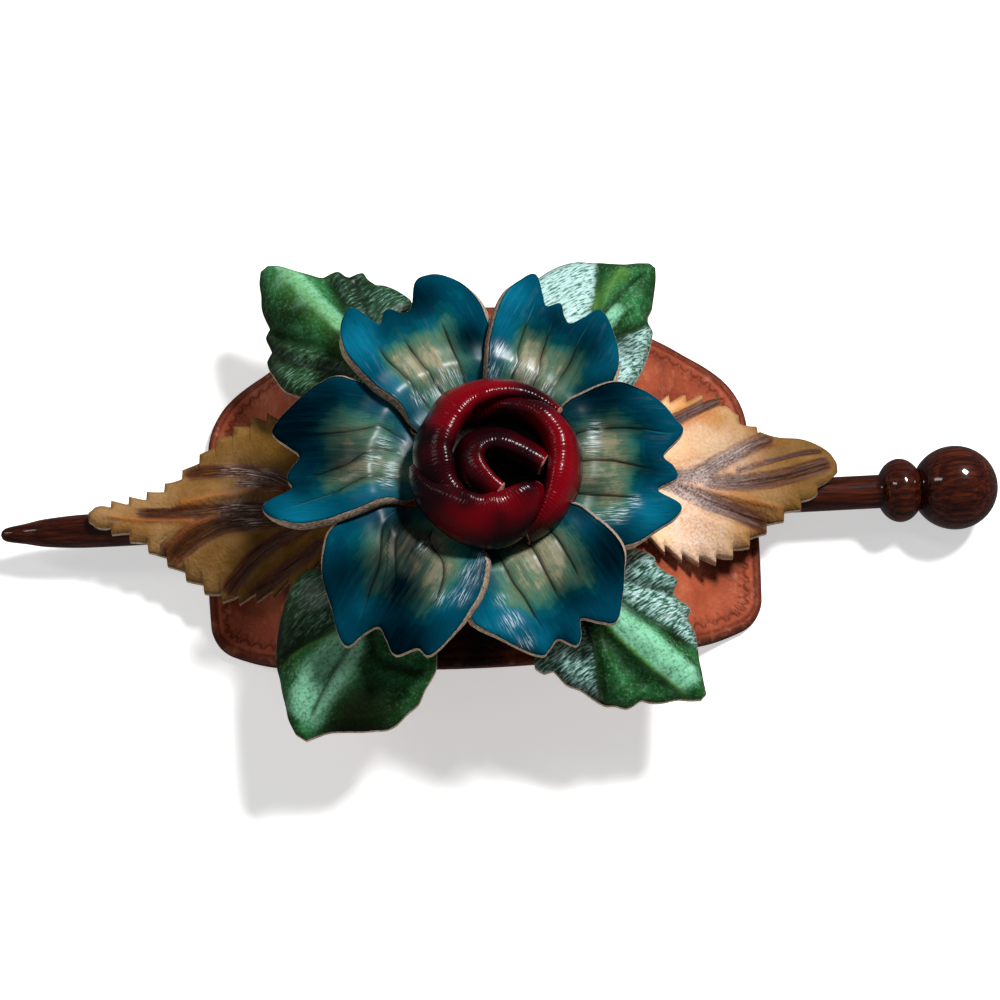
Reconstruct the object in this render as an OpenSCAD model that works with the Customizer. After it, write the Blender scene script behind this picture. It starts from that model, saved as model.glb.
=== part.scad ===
// Leather flower hair barrette with a turned wooden stick, in millimetres
// +X runs along the stick towards its knob, +Y is the top edge and +Z the face that is seen
// The barrette lies on the plane z = 0, which the plate's two ends and the knob touch

/* [Stick] */
// Length of the stick from its tip to the end of the knob
stick_length = 166; // [160:1:172]
// Radius of the stick's shaft
shaft_r = 2.85; // [2.4:0.05:3]
// Length of the taper at the tip
taper_length = 18; // [12:1:24]
// Radius of the large ball at the end
knob_r = 7.1; // [6:0.1:8]
// Radius of the small bead beside the ball
bead_r = 5.4; // [4.5:0.1:5.8]
// Half the width of the small bead
bead_half = 3.9; // [3:0.1:4.2]

/* [Back plate] */
// Thickness of the plate's leather
plate_t = 2.4; // [2:0.1:3]
// Height of the middle of the plate's leather at its crown
plate_rise = 20; // [19.5:0.1:20.5]
// Radius of the crown
crown_r = 46; // [44:0.5:48]
// Distance from the middle to where the plate's ends turn flat
plate_reach = 42; // [41:0.5:43]
// Half the plate's length
plate_half = 46.4; // [46:0.1:47]
// Distance of the plate's top and bottom edge from its middle
edge_y = [31, 29.8];
// Radius of the corners at the top and at the bottom edge
corner_r = [13.6, 6];
// Room round the stick in the plate's two holes
hole_room = 0.85; // [0.4:0.05:1.2]

/* [Leaves] */
// Thickness of the leaves' leather
leaf_t = 1.5; // [1.2:0.1:1.6]
// Distance between two teeth of a yellow leaf
yellow_pitch = 2.9; // [2.6:0.1:3.4]
// Depth of a tooth of a yellow leaf
yellow_tooth = 1.5; // [0.8:0.1:1.8]
// Distance between two folds of a green leaf
green_pitch = 8.4; // [7:0.1:10]
// Distance between two folds of a yellow leaf
yellow_fold_pitch = 6.1; // [5:0.1:8]
// Height of the folds between the veins of a green leaf
green_fold = 0.9; // [0.4:0.1:1.2]
// Height of the folds between the veins of a yellow leaf
yellow_fold = 0.6; // [0.2:0.1:0.8]

/* [Petals] */
// Thickness of the petals' leather
petal_t = 1.7; // [1.4:0.1:1.8]
// Height that each petal gains over the next one round the ring
petal_step = 2.3; // [2.3:0.1:2.6]
// Height that both sides of a petal curl up
petal_cup = 0.5; // [0.2:0.1:0.6]
// Radius of the ring that the petals' roots leave open
root_r = 5; // [4:0.5:6]

/* [Rose] */
// Height at which the rose sits on the petals
rose_seat = 26.9; // [26.8:0.1:27.2]
// Radius of the rose's foot
foot_r = 4; // [3:0.5:4]

/* [Hidden] */

// The stick's line, the plate's middle, the flower's middle and the rose's middle, seen from above
line_y = -0.7;
plate_at = [-3.1, 0];
flower_at = [-3.5, 0.8];
rose_at = [-0.5, -0.3];

// Height of the stick's axis: the knob rests on the plane below
stick_z = knob_r;
$fn = 64;

function mix(a, b, t) = a + (b - a) * t;
function clamp(v) = max(0, min(1, v));
function ease(v) = let(c = clamp(v)) c * c * (3 - 2 * c);
// A column of a table, read between its rows
function column(table, key, col) = lookup(key, [for (row = table) [row[0], row[col]]]);
// Points on an arc in steps
function arc(middle, r, from, to, steps) =
    [for (i = [0:steps]) middle + r * [cos(mix(from, to, i / steps)), sin(mix(from, to, i / steps))]];
function reversed(list) = [for (i = [len(list) - 1:-1:0]) list[i]];
// Where two circles meet, on the right of the line between their middles
function meet(c1, r1, c2, r2) =
    let (d = c2 - c1, gap = norm(d), a = (gap * gap + r1 * r1 - r2 * r2) / (2 * gap))
    c1 + a * d / gap + sqrt(r1 * r1 - a * a) * [d[1], -d[0]] / gap;

// Moves a piece from the stick's own line to the model's frame
module seated() {
    translate([0, line_y, 0]) children();
}

// A closed sheet: a grid of points for its face, and the same grid lowered by its thickness
module sheet(grid, t) {
    rows = len(grid);
    cols = len(grid[0]);
    face = [for (row = grid) for (p = row) p];
    back = [for (p = face) p - [0, 0, t]];
    count = rows * cols;
    quads = [for (i = [0:rows - 2], j = [0:cols - 2])
        [i * cols + j, i * cols + j + 1, (i + 1) * cols + j + 1, (i + 1) * cols + j]];
    ring = concat(
        [for (j = [0:cols - 1]) j],
        [for (i = [1:rows - 1]) i * cols + cols - 1],
        [for (j = [cols - 2:-1:0]) (rows - 1) * cols + j],
        [for (i = [rows - 2:-1:1]) i * cols]
    );
    rim = [for (k = [0:len(ring) - 1])
        let (a = ring[k], b = ring[(k + 1) % len(ring)])
        [b, a, a + count, b + count]];
    walls = concat(quads, [for (q = quads) [q[3] + count, q[2] + count, q[1] + count, q[0] + count]], rim);
    halves = [for (q = walls) for (h = [[q[0], q[1], q[2]], [q[0], q[2], q[3]]]) h];
    polyhedron(points = concat(face, back), faces = halves, convexity = 6);
}

// Stick

// Radius at some distances from the tip
tip_rows = [[0, 0], [0.3, 0.7], [1, 1.15], [4, 1.7], [7.5, 2.35], [14, 2.8], [taper_length, shaft_r]];
knob_at = stick_length - knob_r;
bead_at = knob_at - knob_r - 2.1;
neck_r = 3.3;
ball_start = asin(neck_r / knob_r);
bead_start = asin(shaft_r / bead_r);
bead_end = asin(neck_r / bead_r);

module stick() {
    bead = [for (i = [0:14]) let (a = mix(bead_start, 180 - bead_end, i / 14))
        [bead_r * sin(a), bead_at - bead_half * cos(a)]];
    ball = [for (i = [0:18]) let (a = mix(ball_start, 180, i / 18))
        [max(0, knob_r * sin(a)), knob_at - knob_r * cos(a)]];
    side = concat([for (row = tip_rows) [row[1], row[0]]], bead, ball);
    color([0.29, 0.1, 0.05])
        seated() translate([-stick_length / 2, 0, stick_z]) rotate([0, 90, 0])
            rotate_extrude() polygon(side);
}

// Back plate

flat_z = plate_t / 2;
turn = 2 * atan((plate_rise - flat_z) / plate_reach);
foot_bend_r = (plate_reach - crown_r * sin(turn)) / sin(turn);
// One face of the plate as a line across it, at a distance above the middle of the leather
function plate_line(off) = concat(
    [[-plate_half - 4, flat_z + off]],
    arc([-plate_reach, flat_z + foot_bend_r], foot_bend_r - off, -90, -90 + turn, 5),
    arc([0, plate_rise - crown_r], crown_r + off, 90 + turn - 4, 90 - turn + 4, 22),
    arc([plate_reach, flat_z + foot_bend_r], foot_bend_r - off, -90 - turn, -90, 5),
    [[plate_half + 4, flat_z + off]]
);

// Radius of the plate's short sides, and of its top and bottom edge
side_r = 250;
edge_r = [170, 108];
// A quarter of the outline, from the middle of the short side to the middle of a long edge
function plate_quarter(y, long_r, r) =
    let (
        side = [plate_half - side_r, 0], long = [0, y - long_r],
        corner = meet(long, long_r - r, side, side_r - r),
        side_end = atan2(corner[1] - side[1], corner[0] - side[0]),
        corner_end = atan2(corner[1] - long[1], corner[0] - long[0])
    )
    concat(
        arc(side, side_r, 0, side_end, 2),
        arc(corner, r, side_end + 9, corner_end - 9, 6),
        arc(long, long_r, corner_end, 90, 5)
    );
function flip(points, sx, sy) = [for (p = points) [p[0] * sx, p[1] * sy]];
function tail(points) = [for (i = [1:len(points) - 1]) points[i]];
upper_quarter = plate_quarter(edge_y[0], edge_r[0], corner_r[0]);
lower_quarter = plate_quarter(edge_y[1], edge_r[1], corner_r[1]);
plate_outline = concat(
    upper_quarter,
    tail(reversed(flip(upper_quarter, -1, 1))),
    tail(flip(lower_quarter, -1, -1)),
    [for (i = [len(lower_quarter) - 2:-1:1]) [lower_quarter[i][0], -lower_quarter[i][1]]]
);

module back_plate() {
    color([0.45, 0.2, 0.13]) seated() difference() {
        translate([plate_at[0], plate_at[1], 0]) intersection() {
            rotate([90, 0, 0]) linear_extrude(height = 4 * edge_y[0], center = true)
                polygon(concat(plate_line(plate_t / 2), reversed(plate_line(-plate_t / 2))));
            linear_extrude(height = plate_rise + plate_t) polygon(plate_outline);
        }
        translate([-60, 0, stick_z]) rotate([0, 90, 0])
            cylinder(h = 120, r = shaft_r + hole_room);
    }
}

// Leaves

// Columns of a leaf's table: distance along its midrib, half width on its left and on its right,
// height of the midrib, and how far the left and the right edge hang below it
ALONG = 0;
LEFT = 1;
RIGHT = 2;
HEIGHT = 3;
HANG_LEFT = 4;
HANG_RIGHT = 5;

// A point of a leaf's face: v runs from -1 at its right edge to 1 at its left one
function leaf_point(table, heading, s, v, swing, notch, pitch, fold, lean) =
    let (
        side = v < 0 ? RIGHT : LEFT,
        hang = v < 0 ? HANG_RIGHT : HANG_LEFT,
        total = table[len(table) - 1][ALONG],
        fade = ease((s - 8) / 8) * ease((total - s) / 5),
        w = column(table, s, side) * abs(v) + (abs(v) == 1 ? notch * fade : 0),
        puff = fold * fade * pow(sin(180 * (s - lean * w) / pitch), 2) * min(1, abs(v) * 2),
        z = column(table, s, HEIGHT) - column(table, s, hang) * pow(abs(v), 1.6) + puff,
        y = w * sign(v) + swing * ease((s - 0.62 * total) / (0.38 * total))
    )
    [s * cos(heading) - y * sin(heading), s * sin(heading) + y * cos(heading), z + leaf_t / 2];

// A yellow leaf's teeth begin at some distance and end just before its tip
teeth_from = 20;
yellow_tail = 0.8;
// Distances along a yellow leaf at which its grid has a row: two for each tooth
function yellow_stations(total) =
    let (teeth = floor((total - yellow_tail - teeth_from) / yellow_pitch),
        start = total - yellow_tail - teeth * yellow_pitch)
    concat(
        [for (i = [0:3]) mix(0, start - yellow_pitch / 2, i / 3)],
        [for (k = [0:teeth - 1]) for (part = [0.12, 0.88]) start + (k + part) * yellow_pitch],
        [total]
    );
yellow_across = [-1, -0.66, -0.33, 0, 0.33, 0.66, 1];

// The teeth on a leaf's left edge end at some distance, where the edge turns smooth
module yellow_leaf(table, at, heading, swing, smooth_from) {
    total = table[len(table) - 1][ALONG];
    grid = [for (s = yellow_stations(total))
        let (turns = (s - total + yellow_tail) / yellow_pitch, saw = yellow_tooth * (turns - floor(turns) - 0.5))
        [for (v = yellow_across)
            leaf_point(table, heading, s, v, swing, v > 0 && s > smooth_from ? 0 : saw,
                yellow_fold_pitch, yellow_fold, 0.5)]];
    color([0.72, 0.5, 0.22]) seated()
        translate([at[0], at[1], 0]) sheet(grid, leaf_t);
}

yellow_left = [
    [0, 3, 3, 22.3, 0, 0],
    [7, 3.5, 3.5, 21.3, 0, 0],
    [14, 4, 4, 19.4, 0, 0],
    [19, 8, 8, 17.2, 0.2, 0.2],
    [24, 11.6, 12, 14.6, 0.3, 0.3],
    [29, 13.8, 15, 12.1, 0.8, 0.8],
    [33, 14.7, 16.2, 11.4, 2.2, 2],
    [37, 14.7, 14.8, 11.2, 3.4, 2.6],
    [41, 13.8, 12.2, 11.1, 4.2, 2.6],
    [45, 11.1, 8.6, 11.1, 4.2, 2.4],
    [49, 7.8, 5.2, 11.1, 3.2, 2],
    [53, 4.9, 3.2, 11.1, 1.4, 1],
    [57, 2.8, 2.3, 11, 0.4, 0.5],
    [60.5, 1.6, 1.7, 10.9, 0.1, 0.2],
    [61.8, 0.7, 0.7, 10.9, 0, 0]
];
module leaf_yellow_left() {
    yellow_leaf(yellow_left, [-6, 1.6], 180.6, 0, 62);
}

yellow_right = [
    [0, 3, 3, 22.3, 0, 0],
    [7, 3.5, 3.5, 21.6, 0, 0],
    [14, 4, 4, 19.8, 0, 0],
    [19, 9, 6.2, 17.6, 0.2, 0],
    [24, 13, 9.2, 14.8, 0.3, -1],
    [28, 15.4, 11.1, 12.7, 0.5, 0],
    [32, 16.6, 11.8, 11.6, 1.6, 1.8],
    [36, 16.8, 11.6, 11.3, 2.4, 2.6],
    [39.4, 15.6, 10.4, 11.2, 2.6, 3],
    [41.4, 12.6, 9.5, 11.2, 2.6, 2.8],
    [44, 10, 8.1, 11.2, 2.4, 2],
    [48, 7.5, 6.5, 11.1, 2, 0.7],
    [51.5, 6.3, 5, 11.1, 1.6, 0.2],
    [54, 4.7, 2.9, 11, 0.8, 0.1],
    [56, 2.8, 1.5, 10.9, 0.3, 0],
    [57, 0.8, 0.6, 10.9, 0, 0]
];
module leaf_yellow_right() {
    yellow_leaf(yellow_right, [-1, 0.5], 0, 2.6, 45);
}

// The green leaves share their heights and the rows of their grid
green_height = [
    [0, 23.5, 0], [10, 22.9, 0.2], [15, 22.3, 0.6], [20, 21.8, 1.1], [24, 21.3, 1.6],
    [28, 20.6, 2.4], [32, 19.9, 2.4], [36, 19.1, 1.6], [39, 18.2, 0.8], [41, 17.6, 0]
];
green_stations = [
    0, 6, 12, 16, 19, 21.5, 24, 25.4, 26.1, 27.6, 29, 29.6, 30.6, 31.6, 32.4, 33, 33.8, 35, 36.5, 38, 39.6, 41
];
green_across = [-1, -0.5, 0, 0.5, 1];

// Each row of a green leaf's left or right side is a distance along its midrib and its half width there
module green_leaf(left, right, hang_left, hang_right, at, heading) {
    table = [for (s = green_stations)
        [s, lookup(s, left), lookup(s, right), column(green_height, s, 1),
            column(green_height, s, 2) * hang_left, column(green_height, s, 2) * hang_right]];
    grid = [for (s = green_stations) [for (v = green_across)
        leaf_point(table, heading, s, v, 0, 0, green_pitch, green_fold, 0.7)]];
    color([0.18, 0.42, 0.18]) seated()
        translate([at[0], at[1], 0]) sheet(grid, leaf_t);
}

module leaf_green_upper_left() {
    green_leaf(
        [[0, 2.5], [10, 5], [15, 8.5], [19, 11.3], [22, 12.3], [25.4, 11.7], [27.6, 11.1], [29, 9.6],
            [29.6, 8.6], [31.6, 8], [32.4, 7.2], [33, 6], [35, 5.4], [36.5, 4.4], [38, 3.4], [39.6, 2.3],
            [41, 0.7]],
        [[0, 2.5], [10, 5], [15, 9.5], [19, 13.1], [21.5, 12.8], [24, 12], [25.4, 11.2], [29, 11.2],
            [29.6, 9.1], [31.6, 8.8], [32.4, 8], [33, 5.9], [35, 4.7], [38, 3], [39.6, 2.2], [41, 0.7]],
        1.6, 0.7, [-10.9, 9.6], 130.4);
}
module leaf_green_upper_right() {
    green_leaf(
        [[0, 2.5], [10, 5], [15, 8], [21.5, 12], [24, 12.6], [27.6, 12.3], [29.6, 11.8], [31.6, 10.9],
            [33, 9.8], [35, 7.6], [36.5, 5.6], [38, 3.6], [39.6, 2.2], [41, 0.6]],
        [[0, 2.5], [10, 5], [16, 9.3], [19, 11.2], [21.5, 11.6], [24, 11.2], [27.6, 9.9], [31.6, 7.9],
            [32.4, 7.3], [33, 6.2], [33.8, 5.1], [35, 4.7], [36.5, 4], [38, 3], [39.6, 1.9], [41, 0.6]],
        0.8, 1.8, [-1, 8.6], 46);
}
module leaf_green_lower_left() {
    green_leaf(
        [[0, 2.5], [10, 5], [15, 8], [19, 10.8], [21.5, 12], [26.1, 12.4], [29, 11.7], [31.6, 11.1],
            [33, 10], [35, 7.3], [36.5, 5.1], [38, 2.9], [39.6, 1.6], [41, 0.6]],
        [[0, 2.5], [10, 6], [16, 12], [19, 14.8], [21.5, 15.3], [24, 15], [27.6, 14], [30.6, 12.5],
            [33, 10.8], [35, 8.7], [38, 5.5], [39.6, 3.8], [41, 1.4]],
        0.8, 2.2, [-9, -6.2], 234);
}
module leaf_green_lower_right() {
    green_leaf(
        [[0, 2.5], [10, 5], [16, 9.8], [19, 12], [21.5, 11.7], [25.4, 12.4], [26.1, 10.6], [29, 10.6],
            [29.6, 10.5], [30.6, 9], [32.4, 8.3], [33.8, 7.3], [35, 6.2], [36.5, 4.7], [38, 3.4],
            [39.6, 1.9], [41, 0.6]],
        [[0, 2.5], [10, 5.5], [16, 11.2], [19, 14.4], [20, 14.2], [21.5, 13], [24, 13.1], [26.1, 12.3],
            [29, 11.7], [30.6, 10.8], [32.4, 9.8], [33, 9.4], [33.8, 7], [35, 6.4], [36.5, 5.2],
            [38, 3.2], [39.6, 1.9], [41, 0.6]],
        2.6, 0.8, [0.7, -7.5], 316);
}

// Petals

// Height of the petals' leather at some distances from the flower's middle
petal_rise = [[5, 25.5], [10, 25.8], [15, 27], [20, 28.4], [26, 29.6], [30, 30], [36, 29.9]];
// Half the angle that a petal's root spans
root_span = 27;
petal_rings = 6;

// Height of a petal at a distance from the middle and an angle from its own heading
function petal_z(r, turned) =
    lookup(r, petal_rise) + ease((r - 6) / 5) * petal_step * turned / 60 + petal_cup * pow(turned / 36, 2);

// Each row of a rim is an angle from the petal's heading and the distance to its edge there
module petal(heading, rim) {
    last = len(rim) - 1;
    grid = [for (i = [0:petal_rings]) [for (j = [0:last])
        let (
            share = i / petal_rings,
            r = mix(root_r, rim[j][1], share),
            root_turn = mix(-root_span, root_span, (rim[j][0] - rim[0][0]) / (rim[last][0] - rim[0][0])),
            turned = mix(root_turn, rim[j][0], ease((r - 9.5) / 7)),
            a = heading + turned
        )
        [r * cos(a), r * sin(a), petal_z(r, turned) + petal_t / 2]]];
    color([0.03, 0.27, 0.4]) seated()
        translate([flower_at[0], flower_at[1], 0]) sheet(grid, petal_t);
}

module petal_right() {
    petal(-2, [[-42, 18], [-38, 24], [-32, 27.2], [-23, 29.8], [-17, 32.2], [-13, 32.5], [-10, 28.6],
        [-5.5, 31.4], [-2, 30.8], [1.5, 29.3], [8, 32.8], [12, 32], [18, 30.5], [24, 28.3], [31, 24.8],
        [35, 18]]);
}
module petal_upper_right() {
    petal(58, [[-38, 18], [-34, 23], [-29, 26], [-23, 28.6], [-15, 31.2], [-8, 32.7], [-5.5, 30], [-3, 27.8],
        [0, 28.4], [3, 30], [6.5, 28.6], [9, 30.2], [13, 33.3], [17, 31.5], [22, 28], [26, 20]]);
}
module petal_upper_left() {
    petal(118, [[-38, 18], [-35, 25], [-29, 29.6], [-21, 32.8], [-16, 33.4], [-12.5, 32.6], [-9, 28.8],
        [-5.5, 28.1], [-2.5, 29.6], [0, 29.6], [3.5, 28.3], [6.5, 33.3], [10, 33], [14, 31.3], [20, 27.6],
        [23.5, 20]]);
}
module petal_left() {
    petal(178, [[-40, 18], [-36, 26], [-29, 28.8], [-20, 31], [-12, 33], [-9, 32.6], [-6, 30], [-3, 28.2],
        [2, 29.8], [5, 30], [8, 29.7], [11, 34.4], [16, 33.1], [21, 30], [24, 25]]);
}
module petal_lower_left() {
    petal(238, [[-40, 19], [-37, 25], [-32, 27.6], [-24, 30.3], [-15, 32.6], [-9, 35], [-5, 35.7], [-3, 32.6],
        [-0.5, 30.8], [3, 32], [7, 33.6], [12, 31.6], [16, 32.2], [22, 28.1], [31, 22.5], [36, 17]]);
}
module petal_lower_right() {
    petal(298, [[-39, 18], [-35, 25], [-31, 27], [-24, 28.6], [-14, 32.5], [-11, 32.2], [-7.5, 31.2],
        [-4, 33.2], [-1.5, 32.4], [1, 30.1], [5, 32.1], [8.5, 33.6], [14, 31.6], [20, 29.2], [28, 26.2],
        [35, 18]]);
}

// Rose

// Columns of a roll's table: place from the rose's middle, height of the roll's middle, half its width,
// and its height above that middle
ROLL_X = 0;
ROLL_Y = 1;
ROLL_Z = 2;
ROLL_HALF = 3;
ROLL_UP = 4;

// A row of a roll that is given by its angle round the rose and its distance from the middle
function ringed(a, r, z, half, up) = [r * cos(a), r * sin(a), z, half, up];

// A curve through the rows of a table that rounds the corners between them
function smooth_row(table, t) =
    let (
        last = len(table) - 1, i = min(floor(t), last - 1), f = t - i,
        a = table[max(i - 1, 0)], b = table[i], c = table[i + 1], d = table[min(i + 2, last)]
    )
    0.5 * (2 * b + (c - a) * f + (2 * a - 5 * b + 4 * c - d) * f * f + (3 * b - a - 3 * c + d) * f * f * f);
function smooth(table, steps) = [for (k = [0:steps]) smooth_row(table, (len(table) - 1) * k / steps)];

// The outer roll goes round the top and the left, the right one starts inside it, the lower one
// lies on both, and the inner one is bent like a U round the open heart
outer_roll = [
    ringed(36, 11, 31.7, 2.2, 3.8), ringed(60, 10.8, 32, 3.2, 4.7), ringed(95, 10.5, 32.3, 3.5, 5.2),
    ringed(135, 10.4, 32.3, 3.6, 5.2), ringed(175, 10.4, 32.2, 3.6, 5.2), ringed(205, 9.9, 31.8, 3.3, 4.8),
    ringed(235, 9.2, 31.2, 2.6, 4)
];
right_roll = [
    ringed(102, 6.6, 31.8, 1.8, 3.8), ringed(75, 8.2, 32, 2.8, 4.8), ringed(45, 9.8, 32.3, 3.4, 5.2),
    ringed(10, 10.4, 32.4, 3.7, 5.3), ringed(-25, 10.5, 32.1, 3.7, 5.2), ringed(-52, 10, 31.6, 3.3, 4.6),
    ringed(-80, 9.4, 31, 2.4, 3.6)
];
lower_roll = [
    ringed(170, 11.4, 31.4, 2, 3.4), ringed(194, 11.1, 31.8, 3, 4.6), ringed(225, 10.7, 32.3, 3.6, 5.3),
    ringed(265, 10.5, 32.6, 3.8, 5.5), ringed(292, 10.1, 32.9, 3.7, 5.4), ringed(312, 9.6, 33.1, 3.4, 5),
    ringed(326, 9.2, 33.2, 2.8, 4.2)
];
inner_roll = [
    [7.2, -0.9, 33, 1.7, 3.2], [3.6, 1.5, 33.2, 1.8, 3.6], [0.3, 2.9, 33.2, 1.8, 3.7],
    [-2.6, 2.7, 33.2, 1.8, 3.7], [-4.4, 0.8, 33.2, 1.7, 3.7], [-3.8, -1.8, 33.2, 1.7, 3.6],
    [-1.8, -4.4, 33.2, 1.7, 3.5], [0.2, -6.8, 33, 1.6, 3.2]
];
rolls = [for (table = [outer_roll, right_roll, lower_roll, inner_roll]) smooth(table, 14)];

// Height of a roll over a point, from the stretch between two rows of its path
function hump(p, a, b) =
    let (
        from = [a[ROLL_X], a[ROLL_Y]], run = [b[ROLL_X], b[ROLL_Y]] - from,
        row = mix(a, b, clamp(((p - from) * run) / (run * run))),
        away = norm(p - [row[ROLL_X], row[ROLL_Y]]) / row[ROLL_HALF]
    )
    away < 1 ? row[ROLL_Z] + row[ROLL_UP] * sqrt(1 - away * away) : 0;
function rose_top(p) =
    max([for (table = rolls) for (i = [0:len(table) - 2]) hump(p, table[i], table[i + 1])]);

// The rose's outline seen from above, as angle and distance
rose_outline = [
    [0, 14], [45, 13.4], [90, 14], [135, 14], [180, 14.2], [225, 14.2], [270, 14.3], [315, 13.7], [360, 14]
];
rose_waist = 32;
// The rose's underside rounds down to its foot: radius and height
rose_under = [[13.2, 30.7], [10, 29.5], [7, 28.4], [foot_r, rose_seat]];
// The open heart's depth, and the rings of the grid as shares of the outline
heart_floor = 29.6;
top_rings = [0.08, 0.16, 0.24, 0.32, 0.4, 0.47, 0.54, 0.61, 0.68, 0.75, 0.82, 0.89, 0.95];
rose_sides = 40;

module rose() {
    // Rings run from the heart outwards over the rolls, round the waist and back under them to the foot
    top = [for (share = top_rings) [for (k = [0:rose_sides - 1])
        let (a = 360 * k / rose_sides, r = lookup(a, rose_outline) * share, p = [r * cos(a), r * sin(a)])
        [p[0], p[1], max(heart_floor, rose_top(p))]]];
    waist = [for (k = [0:rose_sides - 1])
        let (a = 360 * k / rose_sides, r = lookup(a, rose_outline))
        [r * cos(a), r * sin(a), rose_waist]];
    under = [for (ring = rose_under) [for (k = [0:rose_sides - 1])
        let (a = 360 * k / rose_sides)
        [ring[0] * cos(a), ring[0] * sin(a), ring[1]]]];
    rings = concat(top, [waist], under);
    last = len(rings) - 1;
    points = concat([for (ring = rings) for (p = ring) p], [[0, 0, heart_floor], [0, 0, rose_seat]]);
    heart = len(points) - 2;
    walls = [for (i = [0:last - 1], k = [0:rose_sides - 1])
        let (n = (k + 1) % rose_sides, a = i * rose_sides, b = a + rose_sides)
        for (half = [[a + k, a + n, b + n], [a + k, b + n, b + k]]) half];
    ends = [for (k = [0:rose_sides - 1])
        let (n = (k + 1) % rose_sides)
        for (half = [[heart, n, k], [heart + 1, last * rose_sides + k, last * rose_sides + n]]) half];
    color([0.5, 0.01, 0.06]) seated() translate([rose_at[0], rose_at[1], 0])
        polyhedron(points = points, faces = concat(walls, ends), convexity = 8);
}

back_plate();
stick();
leaf_yellow_left();
leaf_yellow_right();
leaf_green_upper_left();
leaf_green_upper_right();
leaf_green_lower_left();
leaf_green_lower_right();
petal_right();
petal_upper_right();
petal_upper_left();
petal_left();
petal_lower_left();
petal_lower_right();
rose();
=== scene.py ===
"""Looks of a leather flower hair barrette with its turned wooden stick.

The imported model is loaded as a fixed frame. Every soft leather piece and the stick are rebuilt here as
finer meshes in the places of their solids, dressed with procedural materials, and lit in a plain studio.
Lengths are in millimetres until a mesh is made, when they become metres.
"""

import logging
import math
from dataclasses import dataclass, field
from enum import Enum
from typing import Any, Sequence

import bpy
import numpy as np
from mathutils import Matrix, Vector


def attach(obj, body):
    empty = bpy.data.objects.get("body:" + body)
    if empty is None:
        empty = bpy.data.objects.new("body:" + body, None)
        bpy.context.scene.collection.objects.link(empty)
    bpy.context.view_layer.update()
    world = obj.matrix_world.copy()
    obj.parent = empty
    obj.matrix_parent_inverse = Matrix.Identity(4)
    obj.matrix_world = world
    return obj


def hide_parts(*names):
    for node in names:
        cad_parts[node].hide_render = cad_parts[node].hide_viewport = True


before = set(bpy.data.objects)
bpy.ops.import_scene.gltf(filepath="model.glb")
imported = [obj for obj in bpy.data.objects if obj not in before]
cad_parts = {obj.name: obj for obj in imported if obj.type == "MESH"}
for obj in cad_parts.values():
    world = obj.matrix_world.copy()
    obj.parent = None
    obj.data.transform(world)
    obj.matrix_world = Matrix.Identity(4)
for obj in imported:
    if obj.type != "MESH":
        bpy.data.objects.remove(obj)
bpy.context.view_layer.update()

log = logging.getLogger("barrette")

MM = 0.001
Array = np.ndarray
Rows = Sequence[Sequence[float]]
Colour = tuple[float, float, float, float]

# Place of the stick's line beside the model's own x axis, seen from above, and its height
LINE_Y = -0.7
STICK_Z = 7.1

# Share of a vein's length over which it runs out
RUN_OUT = 0.25


class Body(Enum):
    """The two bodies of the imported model."""

    BARRETTE = "barrette"
    STICK = "stick"


# Curves and fields

def ease(value: Array) -> Array:
    """Smooth step of a value from 0 to 1."""
    c = np.clip(value, 0.0, 1.0)
    return c * c * (3.0 - 2.0 * c)


def bell(value: Array) -> Array:
    """A bell of height 1 round 0."""
    return np.exp(-(value * value))


def read_column(keys: Sequence[float], values: Sequence[float], at: Array) -> Array:
    """Reads a table's column on a smooth line that doesn't overshoot its rows.

    Args:
        keys: The table's first column, rising.
        values: The column that is read.
        at: The places at which it is read.

    Returns:
        The column's value at each place.
    """
    xs = np.asarray(keys, float)
    ys = np.asarray(values, float)
    step = np.diff(xs)
    rise = np.diff(ys) / step
    slope = np.zeros(len(xs))
    before = rise[:-1]
    after = rise[1:]
    same = before * after > 0
    slope[1:-1][same] = 2 * before[same] * after[same] / (before[same] + after[same])
    slope[0] = rise[0]
    slope[-1] = rise[-1]
    i = np.clip(np.searchsorted(xs, at, side="right") - 1, 0, len(xs) - 2)
    t = np.clip((at - xs[i]) / step[i], 0, 1)
    low = (1 + 2 * t) * (1 - t) ** 2 * ys[i] + t * t * (3 - 2 * t) * ys[i + 1]
    return low + step[i] * (t * (1 - t) ** 2 * slope[i] + t * t * (t - 1) * slope[i + 1])


def through(rows: Rows, count: int) -> Array:
    """A smooth line through rows of numbers.

    Args:
        rows: The points, each with the same count of numbers.
        count: How many points the line has.

    Returns:
        The line's points, one a row.
    """
    table = np.asarray(rows, float)
    last = len(table) - 1
    t = np.linspace(0, last, count)
    i = np.minimum(t.astype(int), last - 1)
    f = (t - i)[:, None]
    a = table[np.maximum(i - 1, 0)]
    b = table[i]
    c = table[i + 1]
    d = table[np.minimum(i + 2, last)]
    bend = 2 * a - 5 * b + 4 * c - d
    return 0.5 * (2 * b + (c - a) * f + bend * f ** 2 + (3 * b - a - 3 * c + d) * f ** 3)


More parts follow.
